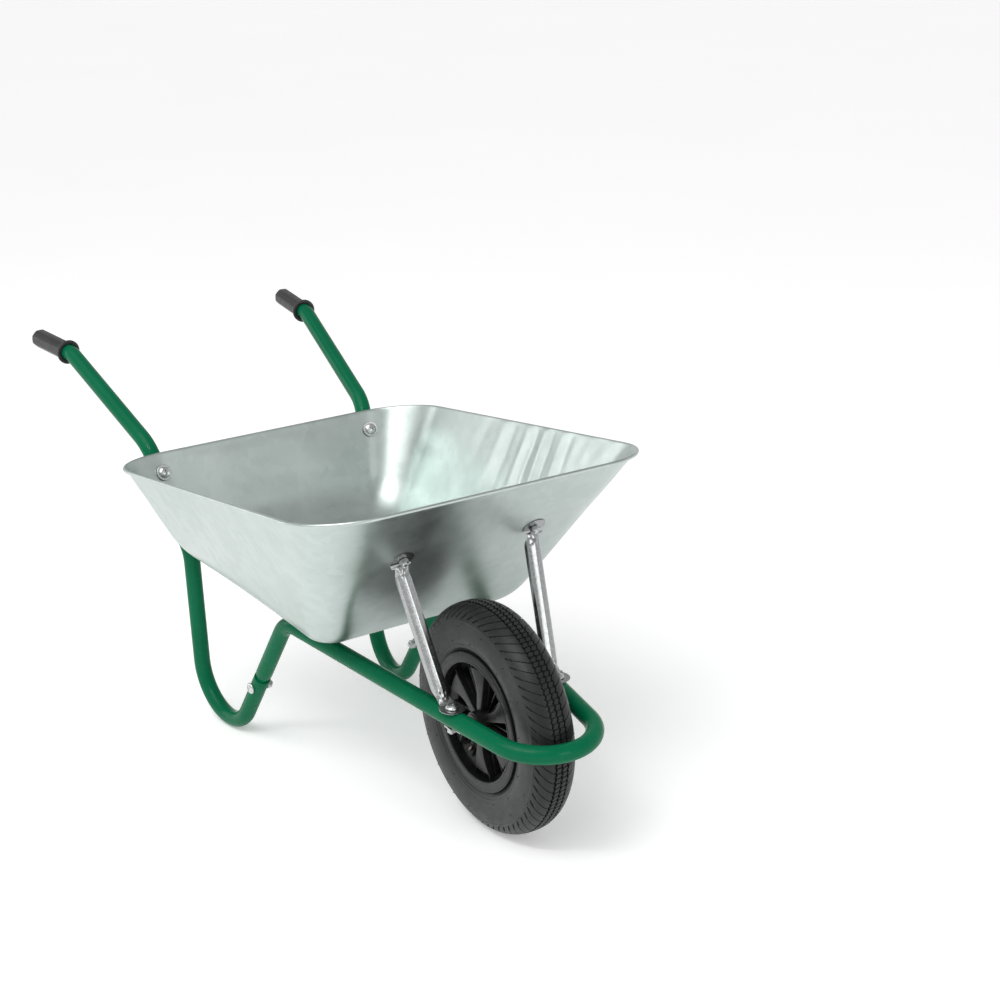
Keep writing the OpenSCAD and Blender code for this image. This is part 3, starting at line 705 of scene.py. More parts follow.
def away_from_handles(p):
    """Moves a point of the pan clear of the handle tubes."""
    gap = TUBE_R + SHEET_T / 2 + HANDLE_GAP
    for side in (-1, 1):
        for a, b in ((HANDLE_BEND, KNEE), (KNEE, HEEL)):
            a, b = flip(a, side), flip(b, side)
            t = clamp((p - a).dot(b - a) / (b - a).length_squared)
            near = a + (b - a) * t
            reach = (p - near).length
            if reach < gap:
                p = p + vec(1, 0, 0) * (gap - reach) * PUSH
    return p


def pan():
    rim, marks = plan_ring(RIM_REAR, RIM_HALF, RIM_FRONT, RIM_HALF, RIM_CORNER_R, rim_z)
    floor_ends = FLOOR_REAR, FLOOR_REAR_HALF, FLOOR_FRONT, FLOOR_FRONT_HALF
    corner, _ = plan_ring(*floor_ends, FLOOR_CORNER_R, floor_z)
    n = len(rim)
    middle_x = (FLOOR_REAR + FLOOR_FRONT) / 2
    middle = vec(middle_x, 0, floor_z(middle_x))
    up = [unit(rim[i] - corner[i]) for i in range(n)]
    out = []
    for i in range(n):
        o = unit((rim[(i + 1) % n] - rim[i - 1]).cross(up[i]))
        out.append(o if o.dot(rim[i] - middle) > 0 else -o)
    top = [rim[i] - out[i] * (BEAD_R - SHEET_T) - up[i] * BEAD_R * 0.7 for i in range(n)]
    fold_in = [corner[i] + unit(middle - corner[i]) * FOLD for i in range(n)]
    fold_out = [corner[i] + unit(top[i] - corner[i]) * FOLD for i in range(n)]
    floor_shares = 0.04, 0.25, 0.45, 0.62, 0.76, 0.88, 0.95
    rows = [[mix(middle, fold_in[i], t) for i in range(n)] for t in floor_shares]
    shares = [None] * len(rows)
    fold_steps, wall_steps = 12, 44
    for k in range(fold_steps):
        rows.append([curve(fold_in[i], corner[i], fold_out[i], k / fold_steps) for i in range(n)])
        shares.append(None)
    for k in range(wall_steps + 1):
        rows.append([mix(fold_out[i], top[i], k / wall_steps) for i in range(n)])
        shares.append(k / wall_steps)
    made = []
    for j, row in enumerate(rows):
        new = []
        for i, p in enumerate(row):
            along = row[(i + 1) % n] - row[i - 1]
            climb = rows[min(j + 1, len(rows) - 1)][i] - rows[max(j - 1, 0)][i]
            normal = unit(along.cross(climb))
            normal = -normal if normal.dot(p - middle - vec(0, 0, 400)) < 0 else normal
            if shares[j] is not None:
                p = p + normal * wall_relief(p, marks[i], shares[j])
            new.append(away_from_handles(p - normal * SHEET_T / 2))
        made.append(new)
    curl_steps, curl_turn = 18, 320
    for k in range(curl_steps + 1):
        a = math.radians(180 - curl_turn * k / curl_steps)
        made.append([away_from_handles(rim[i] + (out[i] * math.cos(a) + up[i] * math.sin(a)) * CURL_R)
                     for i in range(n)])
    return lofted(made, end=False)


thicken(piece("pan_sheet", pan(), SHEET, "frame", ["pan"], crease=60), SHEET_T)

# ---- stays
STAY_T = 2.0
STAY_HALF, STAY_DEPTH = 12.5, 11.0
TAB_R = 20.0
FOOT_RISE, TOP_DROP, TOP_STAND_OFF = 6, 14, 11  # ends of a stay's straight part, from its bolts
BEND_ZONE, NO_TAB = 6, -99  # a tab starts this near the bend, and a point off the tabs has no place on them
STAY_SETBACK = {1: 12, -1: 19}  # how far behind its bolt each stay bends up from its foot
STAY_FOOT = run_at(33)
FORWARD = vec(math.cos(RUN_TILT), 0, -math.sin(RUN_TILT))
FOOT_UP = vec(math.sin(RUN_TILT), 0, math.cos(RUN_TILT))


def centre_of(node, side):
    """Middle of the part of a CAD node that lies on one side, in this script's millimetres."""
    spots = [v.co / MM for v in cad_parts[node].data.vertices if v.co.y * side > 0]
    low = vec(*(min(s[k] for s in spots) for k in range(3)))
    high = vec(*(max(s[k] for s in spots) for k in range(3)))
    return (low + high) / 2 - vec(AXLE_X / MM, 0, 0)


TOP_OUT = unit(centre_of("stay_top_nuts", 1) - centre_of("stay_top_washers", 1))
TOP_OUT = unit(vec(TOP_OUT.x, 0, TOP_OUT.z))
WALL_UP = vec(-TOP_OUT.z, 0, TOP_OUT.x)


def smooth_curve(points, per_span):
    """A Catmull-Rom curve through the points."""
    out = []
    for i in range(len(points) - 1):
        p0, p1 = points[max(i - 1, 0)], points[i]
        p2, p3 = points[i + 1], points[min(i + 2, len(points) - 1)]
        for k in range(per_span):
            t = k / per_span
            out.append(0.5 * (2 * p1 + (p2 - p0) * t + (2 * p0 - 5 * p1 + 4 * p2 - p3) * t * t
                              + (3 * p1 - p0 - 3 * p2 + p3) * t ** 3))
    out.append(points[-1])
    return out


def stay(side):
    foot_point = STAY_FOOT - FORWARD * STAY_SETBACK[side] + FOOT_UP * (TUBE_R + STAY_T + FOOT_RISE)
    top_point = STAY_TOP - WALL_UP * TOP_DROP + TOP_OUT * (STAY_T + TOP_STAND_OFF)
    axis = unit(top_point - foot_point)
    across = unit(vec(0, -1, 0) + axis * axis.y)
    front = axis.cross(across)
    foot_tab = STAY_FOOT + FOOT_UP * (TUBE_R + 0.1 + STAY_T / 2)
    top_tab = STAY_TOP + TOP_OUT * (0.1 + STAY_T / 2)
    base = foot_point - front * STAY_T / 2
    low = base + axis * ((foot_tab - base).dot(FOOT_UP) / axis.dot(FOOT_UP))
    high = base + axis * ((top_tab - base).dot(TOP_OUT) / axis.dot(TOP_OUT))
    ends = [foot_tab + FORWARD * (TAB_R - 0.15), low, high, top_tab + WALL_UP * (TAB_R - 0.15)]
    path = filled(route(ends, [5, 6]), 1.6)
    half = STAY_HALF - STAY_T / 2
    slope = [(-half, -STAY_DEPTH), (-half, -6.5), (-half, -3.6), (-half + 0.5, -2.0), (-half + 2.0, -1.0),
             (-6.0, 0.2), (-3.0, 1.1), (-1.0, 1.75)]
    section = slope + [(0, 1.95)] + [(-x, y) for x, y in reversed(slope)]
    channel = smooth_curve([Vector(q) for q in section], 3)
    rings = []
    for i, p in enumerate(path):
        along = heading(path, i)
        above_low, below_high = (p - low).dot(axis), (high - p).dot(axis)
        opened = smooth_step(3, 30, above_low) * smooth_step(3, 26, below_high)
        mean = unit(mix(vec(0, -1, 0), across, opened))
        lateral = unit(mean - along * mean.dot(along))
        normal = along.cross(lateral)
        reach = min((p - foot_tab).dot(FORWARD) if above_low < BEND_ZONE else NO_TAB, TAB_R)
        reach_top = min((p - top_tab).dot(WALL_UP) if below_high < BEND_ZONE else NO_TAB, TAB_R)
        width = STAY_HALF - 0.6
        for past in (reach, reach_top):
            # A point past the middle of a tab lies on its round end, and one before it on the side.
            if past > 0:
                width = math.sqrt(max(0.04, TAB_R ** 2 - past ** 2))
            elif past > -TAB_R:
                width = max(width, math.sqrt(TAB_R ** 2 - past ** 2))
        ring = []
        for k, q in enumerate(channel):
            flat = (2 * k / (len(channel) - 1) - 1) * width
            x, y = flat + (q.x - flat) * opened, q.y * opened
            crushed = 4 * opened * (1 - opened)
            y += crushed * 1.3 * noise.noise(vec(x / 5, above_low / 7, side * 9))
            y += 0.12 * noise.noise(vec(x / 6, above_low / 40, side * 5)) * opened
            ring.append(flip(p + lateral * x + normal * y, side))
        rings.append(ring)
    return lofted(rings, closed=False, start=False, end=False)


for side, name in SIDES:
    strip = piece("stay_strip_" + name, stay(side), STAY_ZINC, "frame", ["stay_" + name], 60)
    thicken(strip, STAY_T).thickness_clamp = 1.0
    break_edges(strip, 0.35, 60, harden=False)

# ---- fasteners
BOLT_R, DOME_R, DOME_H, WASHER_R, WASHER_T, NUT_AF, NUT_H = 4.0, 10.0, 5.5, 14.0, 1.6, 13.0, 6.5


def carve(body, tool, operation="DIFFERENCE"):
    """One shell cut by another, or what the two share."""
    made = [shown("blank", mesh_of(shell, "blank", 1, 0, 0.001)) for shell in (body, tool)]
    cut = made[0].modifiers.new("cut", "BOOLEAN")
    cut.object, cut.operation, cut.solver = made[1], operation, "EXACT"
    bpy.context.view_layer.update()
    result = made[0].evaluated_get(bpy.context.evaluated_depsgraph_get()).to_mesh()
    out = Shell()
    out.points = [v.co.copy() for v in result.vertices]
    out.faces = [tuple(p.vertices) for p in result.polygons]
    for thing in made:
        mesh = thing.data
        bpy.data.objects.remove(thing)
        bpy.data.meshes.remove(mesh)
    return out


def prism(outline, low, high):
    return lofted([[vec(x, y, h) for x, y in outline] for h in (low, high)])


def turned(profile, steps=64):
    """A solid turned round z from (radius, height) points, capped at both ends."""
    return lofted([[polar(r, t, h) for t in turns(steps)] for r, h in profile])


def thread(low, high, radius, pitch=1.25, depth=0.55, steps=24):
    """A threaded length of a bolt, along z."""
    rows_per_turn = 6
    rows = int((high - low) / pitch * rows_per_turn)
    rings = []
    for j in range(rows + 1):
        h = low + (high - low) * j / rows
        ring = []
        for k in range(steps):
            t = (h / pitch - k / steps) % 1.0
            cut = depth * (1 - abs(2 * t - 1))
            ease = smooth_step(0, 1.2, min(h - low, high - h))
            r = radius - cut * ease - (1 - smooth_step(0, 0.9, h - low)) * 0.6
            ring.append(polar(r, math.tau * k / steps, h))
        rings.append(ring)
    return lofted(rings)


def hex_outline(flats, turn):
    r = flats / 2 / math.cos(math.pi / 6)
    return [polar(r, turn + t, 0).xy for t in turns(6)]


def hex_nut(turn):
    """A chamfered nut that sits on z = 0 and reaches up."""
    corner, flat = NUT_AF / 2 / math.cos(math.pi / 6), NUT_AF / 2 * 0.97
    drop = (corner - flat) * math.tan(math.radians(30))
    block = prism(hex_outline(NUT_AF, turn), 0, NUT_H)
    cone = turned([(flat, 0), (corner + 0.01, drop), (corner + 0.01, NUT_H - drop), (flat, NUT_H)], 48)
    block = carve(block, cone, "INTERSECT")
    bore, mouth = BOLT_R + 0.1, BOLT_R + 0.7
    hole = turned([(mouth, -1), (mouth, 0.02), (bore, 0.65), (bore, NUT_H - 0.65), (mouth, NUT_H - 0.02),
                   (mouth, NUT_H + 1)], 32)
    return carve(block, hole)


def flat_washer(outer, dish=0.0):
    inner, e = BOLT_R + 0.15, 0.35
    profile = [(inner, e), (inner + e, 0), (outer - e, 0), (outer, e), (outer, WASHER_T - e),
               (outer - e, WASHER_T), (outer - 2.2, WASHER_T), (inner + 3.4, WASHER_T - dish),
               (inner + e, WASHER_T - dish), (inner, WASHER_T - e - dish)]
    return lathe(profile, 72)


def dome_head():
    profile = [(DOME_R - 0.3, 0), (DOME_R, 0.35), (DOME_R, 0.9)]
    profile += [(DOME_R * math.cos(math.radians(a)), 1 + (DOME_H - 1) * math.sin(math.radians(a)))
                for a in range(8, 89, 8)]
    head = turned(profile)
    for turn in (0, math.pi / 2):
        levels = (0.45, DOME_H - 3.0), (1.0, DOME_H + 0.6)
        slot = lofted([[vec(x * s, y * s, h) for x, y in ((-4.9, -1), (4.9, -1), (4.9, 1), (-4.9, 1))]
                       for s, h in levels])
        head = carve(head, Shell().place(slot, Matrix.Rotation(turn + 0.4, 4, "Z")))
    return head


def bolt(length, threaded=12.0):
    """A domed bolt: its head sits on z = 0, and its shank reaches down by length."""
    shank = turned([(BOLT_R, 0.5), (BOLT_R, threaded - length)], 32)
    return together(dome_head(), shank, thread(-length, threaded - length, BOLT_R))


def pair(name, node, finish, make, place):
    """The same small part on both sides, each from its own make(side) and place(side)."""
    shell = Shell()
    for side in (-1, 1):
        shell.place(make(side), place(side))
    piece(name, shell, finish, "frame", [node])


def at(node, axis, drop):
    """Places a part made on z = 0 at the near face of a CAD node, facing along axis."""
    def place(side):
        direction = flip(axis, side)
        return facing(centre_of(node, side) - direction * drop, direction)
    return place


def washers(name, node, axis, make):
    pair(name, node, BOLT_ZINC, make, at(node, axis, WASHER_T / 2))


def nuts(name, node, axis, turn, swing):
    """Nuts turned by turn, and by swing more on the left and less on the right."""
    pair(name, node, NUT_ZINC, lambda side: hex_nut(turn + swing * side), at(node, axis, NUT_H / 2))


def pan_washer(side):
    return flat_washer(WASHER_R, dish=0.5)


REAR_IN = unit(centre_of("rear_panel_washers", 1) - centre_of("rear_panel_nuts", 1))
LEG_OUT = vec(0, 1, 0)
FOOT_HEAD, JOINT_FACE = TUBE_R + 0.1 + STAY_T, TUBE_R + 0.3
PAST_NUT = NUT_H + 3  # how far a bolt reaches past the face that its nut sits on

washers("rear_washers", "rear_panel_washers", REAR_IN, pan_washer)
pair("rear_bolts", "rear_panel_bolts", BOLT_ZINC, lambda side: bolt(47.4),
     at("rear_panel_washers", REAR_IN, -WASHER_T / 2))
nuts("rear_nuts", "rear_panel_nuts", REAR_IN, 0, 0.3)
washers("front_washers", "stay_top_washers", -TOP_OUT, pan_washer)
pair("front_bolts", "stay_top_bolts", BOLT_ZINC, lambda side: bolt(14.4, 9.0),
     at("stay_top_washers", -TOP_OUT, -WASHER_T / 2))
nuts("front_nuts", "stay_top_nuts", TOP_OUT, 0.5, 0.4)
nuts("foot_nuts", "stay_foot_nuts", FOOT_UP, 0.2, -0.3)
pair("foot_bolts", "stay_foot_bolts", BOLT_ZINC, lambda side: bolt(FOOT_HEAD + TUBE_R + 3.1 + PAST_NUT),
     lambda side: facing(flip(STAY_FOOT + FOOT_UP * FOOT_HEAD, side), FOOT_UP))
pair("joint_bolts", "leg_joint_bolts", BOLT_ZINC, lambda side: bolt(2 * JOINT_FACE + WASHER_T + PAST_NUT),
     lambda side: facing(flip(JOINT + LEG_OUT * JOINT_FACE, side), flip(LEG_OUT, side)))
washers("joint_washers", "leg_joint_washers", LEG_OUT, lambda side: flat_washer(NUT_AF / 2 + 1.5))
nuts("joint_nuts", "leg_joint_nuts", LEG_OUT, 0, 0.1)

# ---- tyre
TYRE_MID, TYRE_TALL, TYRE_WIDE, ROUNDNESS = 143.0, 42.0, 40.0, 2 / 2.4
CAVITY_TALL, CAVITY_WIDE = 36.0, 35.5
TYRE_TURN = math.radians(136)  # angle of the section at which the tyre meets the rim flange
PITCHES = 66
# Columns of one pitch of the tread; the cuts run along 0 and 0.5.
COLUMNS = (-0.05, -0.032, 0, 0.032, 0.05, 0.15, 0.25, 0.35, 0.45, 0.468, 0.5, 0.532, 0.55, 0.65, 0.75, 0.85)
ZIGZAG = 1.3
GROOVE, BLOCK_CUT, LUG_CUT = 4.2, 3.2, 3.3
BLOCK_IN, BLOCK_OUT, LUG_IN, LUG_FLAT, LUG_OUT = 1.5, 9.0, 12.05, 36.0, 43.6
ABOUT_AXLE = Matrix(((1, 0, 0, 0), (0, 0, 1, 0), (0, 1, 0, WHEEL_R), (0, 0, 0, 1)))


def oval(tall, wide, t):
    """A point of the section at angle t from its crown, as (radius, distance from the middle plane)."""
    c, s = math.cos(t), math.sin(t)
    return Vector((TYRE_MID + tall * math.copysign(abs(c) ** ROUNDNESS, c),
                   wide * math.copysign(abs(s) ** ROUNDNESS, s)))


def tyre_line():
    """Points of half the section from crown to bead, each with its normal and its length from the crown."""
    steps = 2000
    fine = [oval(TYRE_TALL, TYRE_WIDE, TYRE_TURN * k / steps) for k in range(steps + 1)]
    lengths = [0.0]
    for a, b in zip(fine, fine[1:]):
        lengths.append(lengths[-1] + (b - a).length)
    # Close together at the edges of the grooves, blocks, lugs and side rings.
    wanted = [0, 0.9, 1.3, 1.7, 2.4, 3.6, 4.8, 6.0, 7.2, 8.3, 8.8, 9.2, 10.0, 10.9, 11.8, 12.2, 12.9, 14.5]
    wanted += [17, 20, 23, 26, 29, 32, 34.5, 36, 37.4, 39.5, 42, 43.4, 43.9, 44.5, 45.4, 46.2, 47, 47.8, 48.8]
    wanted += [50.5] + [53 + 2.4 * k for k in range(13)]
    wanted += [84.2 + 0.75 * k for k in range(60) if 84.2 + 0.75 * k < lengths[-1] - 0.5]
    wanted.append(lengths[-1])
    out, j = [], 0
    for s in wanted:
        while j < steps - 1 and lengths[j + 1] < s:
            j += 1
        t = clamp((s - lengths[j]) / (lengths[j + 1] - lengths[j]))
        d = (fine[min(j + 2, steps)] - fine[max(j - 1, 0)]).normalized()
        # d runs from the crown towards the bead, and the normal points away from the rubber.
        normal = Vector((d.y, -d.x)) if s > 0 else Vector((1, 0))
        out.append((fine[j].lerp(fine[j + 1], t), normal, s))
    return out


def tread_depth(s, u, side):
    """How deep the tread is cut at length s from the crown, u of a pitch past a cut."""
    if s < BLOCK_IN or BLOCK_OUT < s < LUG_IN:
        return GROOVE
    if s < BLOCK_OUT:
        return BLOCK_CUT if min(u % 0.5, -u % 0.5) < 0.04 else 0.0
    away = abs((u + (0.5 if side > 0 else 0.0)) % 1.0 - 0.5)
    if s < LUG_FLAT:
        return LUG_CUT if away < 0.04 else 0.0
    return LUG_CUT * 0.8 if s < LUG_OUT and away < 0.1 else 0.0


def sweep(s):
    """How far the tread's cuts have swept round the tyre at length s, in pitches."""
    past = min(max(s - LUG_IN, 0), LUG_OUT - LUG_IN)
    return 0.028 * past + 0.0007 * past ** 2


def side_relief(radius, s):
    """Rings raised on the tyre's side."""
    if s < LUG_OUT:
        return 0.0
    ridge = 0.5 * smooth_step(45.4, 46.2, s) * (1 - smooth_step(47.6, 48.8, s))
    for middle, half, height in ((123.5, 0.9, 0.7), (119.5, 2.0, 0.45), (150.5, 0.7, 0.25)):
        ridge += height * (1 - smooth_step(half * 0.6, half * 1.4, abs(radius - middle)))
    return ridge


def tyre():
    places = [pitch + u for pitch in range(PITCHES) for u in COLUMNS]
    line = tyre_line()
    rows = []
    for side, p, n, s in [(1, *spot) for spot in reversed(line)] + [(-1, *spot) for spot in line[1:]]:
        row = []
        swing = ZIGZAG * (1 - smooth_step(LUG_IN, 16, s))
        for turn in places:
            out = side_relief(p.x, s) - tread_depth(s, turn, side)
            y = (p.y + n.y * out) * side + swing * wave(turn * 2 + 0.25)
            row.append((p.x + n.x * out, y, math.tau * (turn + sweep(s)) / PITCHES))
        rows.append(row)
    bead = [(110.0, 31.2), (106.5, 31.4), (103.2, 31.2), (101.75, 29.9), (101.7, 26), (101.8, 23.4),
            (103.6, 22.4)]
    cavity = [tuple(oval(CAVITY_TALL, CAVITY_WIDE, math.radians(-128 + 256 * k / 24))) for k in range(25)]
    inner = [(r, -y) for r, y in bead] + cavity + list(reversed(bead))
    end = sweep(LUG_OUT)
    for r, y in inner:
        rows.append([(r, y, math.tau * (turn + end) / PITCHES) for turn in places])
    shell = lofted([[ABOUT_AXLE @ polar(r, t, y) for r, y, t in row] for row in rows], loop=True)
    # Vent pips: short stubs of rubber left on the side by the mould.
    for side in (1, -1):
        for radius, count, offset in ((129.5, 14, 0.3), (153.0, 14, 0.05), (164.0, 20, 0.4)):
            past = radius - TYRE_MID
            cosine = math.copysign((abs(past) / TYRE_TALL) ** (1 / ROUNDNESS), past)
            spot = oval(TYRE_TALL, TYRE_WIDE, math.acos(max(-1, min(1, cosine))))
            for k in range(count):
                t = math.tau * (k + offset + rng.uniform(-0.2, 0.2)) / count
                tilt = (spot.x - TYRE_MID) / TYRE_TALL * 0.9
                spoke = polar(1, t, 0)
                root = spoke * spot.x + vec(0, 0, spot.y * side)
                place = ABOUT_AXLE @ facing(root, spoke * tilt + vec(0, 0, side), spoke.cross(vec(0, 0, 1)))
                shell.place(turned([(0.85, -1), (0.8, 0.9), (0.55, rng.uniform(1.2, 2.0))], 10), place)
    return shell


piece("tyre_casing", tyre(), RUBBER, "wheel", ["tyre"], crease=38)

# ---- wheel centre
HUB_R, BUSH_HOLE, HUB_HALF, WEB_HALF, WELL_R, BARREL_R = 17.0, 9.0, 40.0, 2.0, 86.0, 95.0
FLANGE_R, FLANGE_OUT, FLANGE_IN, SEAT_R, SEAT_HALF, WELL_HALF = 112.0, 37.5, 31.5, 101.5, 18.0, 12.0
SPOKES, SPOKE_REACH, SPOKE_HALF_W, SPOKE_HALF_H = 6, 83.0, 20.0, 28.0
RIBS, RIB_HALF_T, RIB_HALF_H = 24, 1.25, 17.0
VALVE_TURN, VALVE_OUT, VALVE_R = math.radians(-127.5), -14.0, 4.0


def softened(outline, low, high, edge, steps=3):
    """A prism with rounded long edges, made from an outline of (x, y) points."""
    middle = Vector((sum(x for x, _ in outline), sum(y for _, y in outline))) / len(outline)
    n = len(outline)
    inward = []
    for i, (x, y) in enumerate(outline):
        before, after = Vector(outline[i - 1]), Vector(outline[(i + 1) % n])
        here = Vector((x, y))
        a, b = (here - before).normalized(), (after - here).normalized()
        side = Vector((-a.y - b.y, a.x + b.x)).normalized()
        side = side / max(0.4, side.dot(Vector((-a.y, a.x))))
        inward.append(side if side.dot(middle - here) > 0 else -side)
    angles = [math.pi / 2 * k / steps for k in range(steps + 1)]
    levels = [(1 - math.sin(t), 1 - math.cos(t)) for t in angles]
    levels = [(d, low + edge * h) for d, h in levels] + [(d, high - edge * h) for d, h in reversed(levels)]
    return lofted([[vec(x + i.x * edge * d, y + i.y * edge * d, h) for i, (x, y) in zip(inward, outline)]
                   for d, h in levels])


def box(x0, y0, x1, y1):
    return [(x0, y0), (x0, y1), (x1, y1), (x1, y0)]


def wheel_centre():
    half = [
        (BUSH_HOLE, HUB_HALF), (HUB_R, HUB_HALF), (HUB_R + 1, WEB_HALF), (WELL_R, WEB_HALF),
        (WELL_R, WELL_HALF), (BARREL_R, SEAT_HALF + 2), (BARREL_R, FLANGE_OUT), (FLANGE_R, FLANGE_OUT),
        (FLANGE_R, FLANGE_IN), (SEAT_R, FLANGE_IN), (SEAT_R, SEAT_HALF), (WELL_R + 4, WELL_HALF),
    ]
    soft = [0.8, 0.8, 2, 2, 2.5, 3, 1.2, 1.8, 1.2, 0.6, 1.5, 1.5]
    outline = half + [(r, -h) for r, h in reversed(half)]
    shell = Shell().place(lathe(rounded(outline, soft + soft[::-1]), 168), ABOUT_AXLE)
    # Places along a spoke from the axle, its half widths there, and how far its bowed side is drawn in.
    root, root_half, neck, neck_half, bow, crown = 13.0, 4.5, 24, 6.5, 7.5, 2.4
    for k in range(SPOKES):
        bowed = [(mix(neck, SPOKE_REACH, t), mix(neck_half, SPOKE_HALF_W, t) - bow * math.sin(math.pi * t))
                 for t in (j / 10 for j in range(11))]
        end = [(SPOKE_REACH + crown * math.cos(math.pi / 2 * j / 4), -SPOKE_HALF_W * j / 4)
               for j in range(-3, 4)]
        flat = [(mix(SPOKE_REACH, neck, j / 4), mix(-SPOKE_HALF_W, -neck_half, j / 4)) for j in range(5)]
        outline = [(root, root_half)] + bowed + end + flat + [(root, -root_half)]
        turn = Matrix.Rotation(math.tau * (k + 0.5) / SPOKES, 4, "Z")
        shell.place(softened(outline, -SPOKE_HALF_H, SPOKE_HALF_H, 0.9), ABOUT_AXLE @ turn)
        for edge in (-1, 1):
            # A thin rib from each outer corner of a spoke to the barrel.
            near, far, half_t = edge * 18.6, edge * 21, 0.9
            strut = [(SPOKE_REACH - 3, near - half_t), (BARREL_R, far - half_t), (BARREL_R, far + half_t),
                     (SPOKE_REACH - 3, near + half_t)]
            strut_h = SPOKE_HALF_H - 1.5
            shell.place(softened(strut, -strut_h, strut_h, 0.35, 2), ABOUT_AXLE @ turn)
    near, far = HUB_R - 2, BARREL_R + 1
    rib = softened([(near, -RIB_HALF_T), (far, -RIB_HALF_T), (far, RIB_HALF_T), (near, RIB_HALF_T)],
                   -RIB_HALF_H, RIB_HALF_H, 0.5, 2)
    for t in turns(RIBS):
        shell.place(rib, ABOUT_AXLE @ Matrix.Rotation(t, 4, "Z"))
    for side in (1, -1):
        # Two steps turned into each flange.
        for low, high, top in ((97.2, 98.4, 0.5), (108.2, 109.2, 0.35)):
            ring = rounded(box(low, FLANGE_OUT - 1, high, FLANGE_OUT + top), [0.3] * 4, 2)
            shell.place(lathe([(r, h * side) for r, h in ring], 168), ABOUT_AXLE)
    return shell


piece("wheel_moulding", wheel_centre(), WHEEL_BLACK, "wheel", ["wheel_centre"], crease=32)


def along_valve(shell):
    spoke = Matrix.Rotation(VALVE_TURN, 4, "Z") @ Matrix.Translation((0, 0, VALVE_OUT)) @ Matrix.Rotation(
        math.pi / 2, 4, "Y")
    return Shell().place(shell, ABOUT_AXLE @ spoke)


stem = together(turned([(VALVE_R, 103), (VALVE_R, 86), (3.2, 84.5), (3.2, 76)], 32),
                thread(70.2, 77, 3.1, 0.9, 0.4, 20))
piece("valve_tube", along_valve(stem), NICKEL, "wheel", ["valve_stem"])
cap_line = [(4.2, 75.0), (4.9, 74.9), (5.0, 74.2), (5.0, 66.5), (4.6, 65.0), (3.4, 64.3), (2.0, 64.1)]
CAP_RIBS, CAP_SIDES = 14, 84
cap = lofted([[polar(r - (0.35 * (0.5 + 0.5 * math.cos(CAP_RIBS * t)) if r > 4.7 else 0), t, h)
               for t in turns(CAP_SIDES)] for r, h in cap_line])
piece("valve_dust_cap", along_valve(cap), CAP_BLACK, "wheel", ["valve_cap"])

# ---- CAD parts that are shown as they are
SHOWN = {
    "axle": (STEEL, "bright_steel", 0.5),
    "axle_spacers": (NUT_ZINC, "zinc_plate", 0.3),
    "axle_nuts": (NUT_ZINC, "fastener_zinc", 0.4),
    "axle_bracket_right": (PLATE_ZINC, "zinc_plate", 0.5),
    "axle_bracket_left": (PLATE_ZINC, "zinc_plate", 0.5),
    "hub_bush_right": (NYLON, "bush_nylon", 0.4),
    "hub_bush_left": (NYLON, "bush_nylon", 0.4),
    "inner_tube": (TUBE_BLACK, "tube_rubber", 0),
}
for node, (finish, slot, bevel) in SHOWN.items():
    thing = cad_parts[node]
    for place in thing.material_slots:
        place.material = finish
    if bevel:
        thing.modifiers.new("weld", "WELD").merge_threshold = WELD * MM
        break_edges(thing, bevel, 40)

# ---- floor, light and camera
def pale_floor():
    f = Finish("pale_floor", Specular_IOR_Level=0.1, Emission_Color=(1, 1, 1, 1), Emission_Strength=0.26)
    f.color(f.ramp(f.noise(900, 2), [(0.3, (0.915, 0.918, 0.915)), (0.7, (0.93, 0.932, 0.93))]))
    f.roughness(f.span(f.noise(300, 2), 0.75, 0.85))
    return f.material


FLOOR_HALF = 200
floor_mesh = bpy.data.meshes.new("floor")
floor_corners = (-1, -1), (1, -1), (1, 1), (-1, 1)
floor_mesh.from_pydata([(x * FLOOR_HALF, y * FLOOR_HALF, 0) for x, y in floor_corners], [], [(0, 1, 2, 3)])
floor_mesh.materials.append(pale_floor())
floor = shown("floor", floor_mesh)


def softbox(name, place, target, size, power):
    lamp = bpy.data.lights.new(name, "AREA")
    lamp.shape = "RECTANGLE"
    lamp.size, lamp.size_y = size
    lamp.energy = power
    thing = shown(name, lamp)
    thing.location = place
    thing.rotation_mode = "QUATERNION"
    thing.rotation_quaternion = (Vector(target) - Vector(place)).to_track_quat("-Z", "Y")


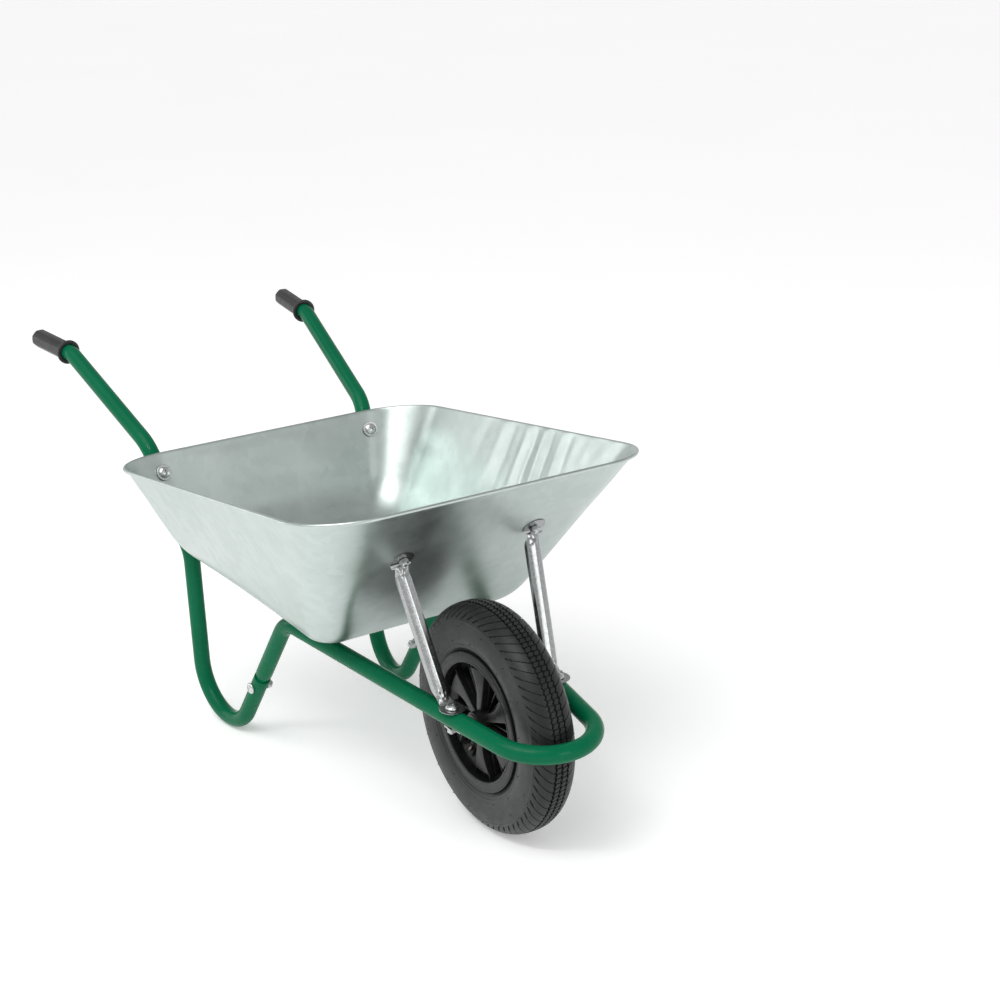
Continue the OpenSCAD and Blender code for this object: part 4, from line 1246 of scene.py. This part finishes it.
softbox("top_box", (0.6, -1.4, 3.2), (0, 0, 0.3), (2.6, 2.0), 33)
softbox("rear_box", (-3.2, -2.4, 1.3), (0, 0, 0.4), (1.3, 1.8), 14)
softbox("front_box", (3.8, 0.6, 1.4), (0, 0, 0.3), (1.2, 1.6), 14)
softbox("glint_strip", (1.2, -1.6, 2.7), (-0.1, 0, 0.3), (1.3, 0.06), 12)
sun = bpy.data.lights.new("even_light", "SUN")
sun.energy, sun.angle = 0.9, math.radians(70)
shown("even_light", sun).rotation_euler = (math.radians(30), math.radians(8), 0)

world = bpy.data.worlds.new("studio")
bpy.context.scene.world = world
world.use_nodes = True
sky = world.node_tree
coords, split, lift, shade = (sky.nodes.new("ShaderNode" + kind)
                              for kind in ("TexCoord", "SeparateXYZ", "MapRange", "ValToRGB"))
lift.inputs["From Min"].default_value = -1
backdrop = sky.nodes["Background"]
backdrop.inputs["Strength"].default_value = 0.9
sky.links.new(coords.outputs["Generated"], split.inputs["Vector"])
sky.links.new(split.outputs["Z"], lift.inputs["Value"])
sky.links.new(lift.outputs["Result"], shade.inputs["Fac"])
sky.links.new(shade.outputs["Color"], backdrop.inputs["Color"])
marks = shade.color_ramp.elements
marks.new(0.62)
marks.new(0.8)
for mark, (place, level) in zip(marks, ((0.48, 1.02), (0.56, 0.9), (0.8, 0.5), (1.0, 0.45))):
    mark.position = place
    mark.color = (level, level, level, 1)

CAMERA_AT, CAMERA_TO, CAMERA_ROLL = vec(2.9863, -1.5589, 1.5057), vec(-0.1401, 0.4025, 0.300), -0.04275
lens = bpy.data.cameras.new("camera")
lens.lens, lens.sensor_width = 75.38, 36
lens.clip_start, lens.clip_end = 0.05, 1000
camera = shown("camera", lens)
look = unit(CAMERA_TO - CAMERA_AT)
across = unit(look.cross(vec(0, 0, 1)))
above = across.cross(look)
camera.matrix_world = basis(CAMERA_AT, across, above, -look) @ Matrix.Rotation(CAMERA_ROLL, 4, "Z")
bpy.context.scene.camera = camera
bpy.context.scene.view_settings.view_transform = "Standard"
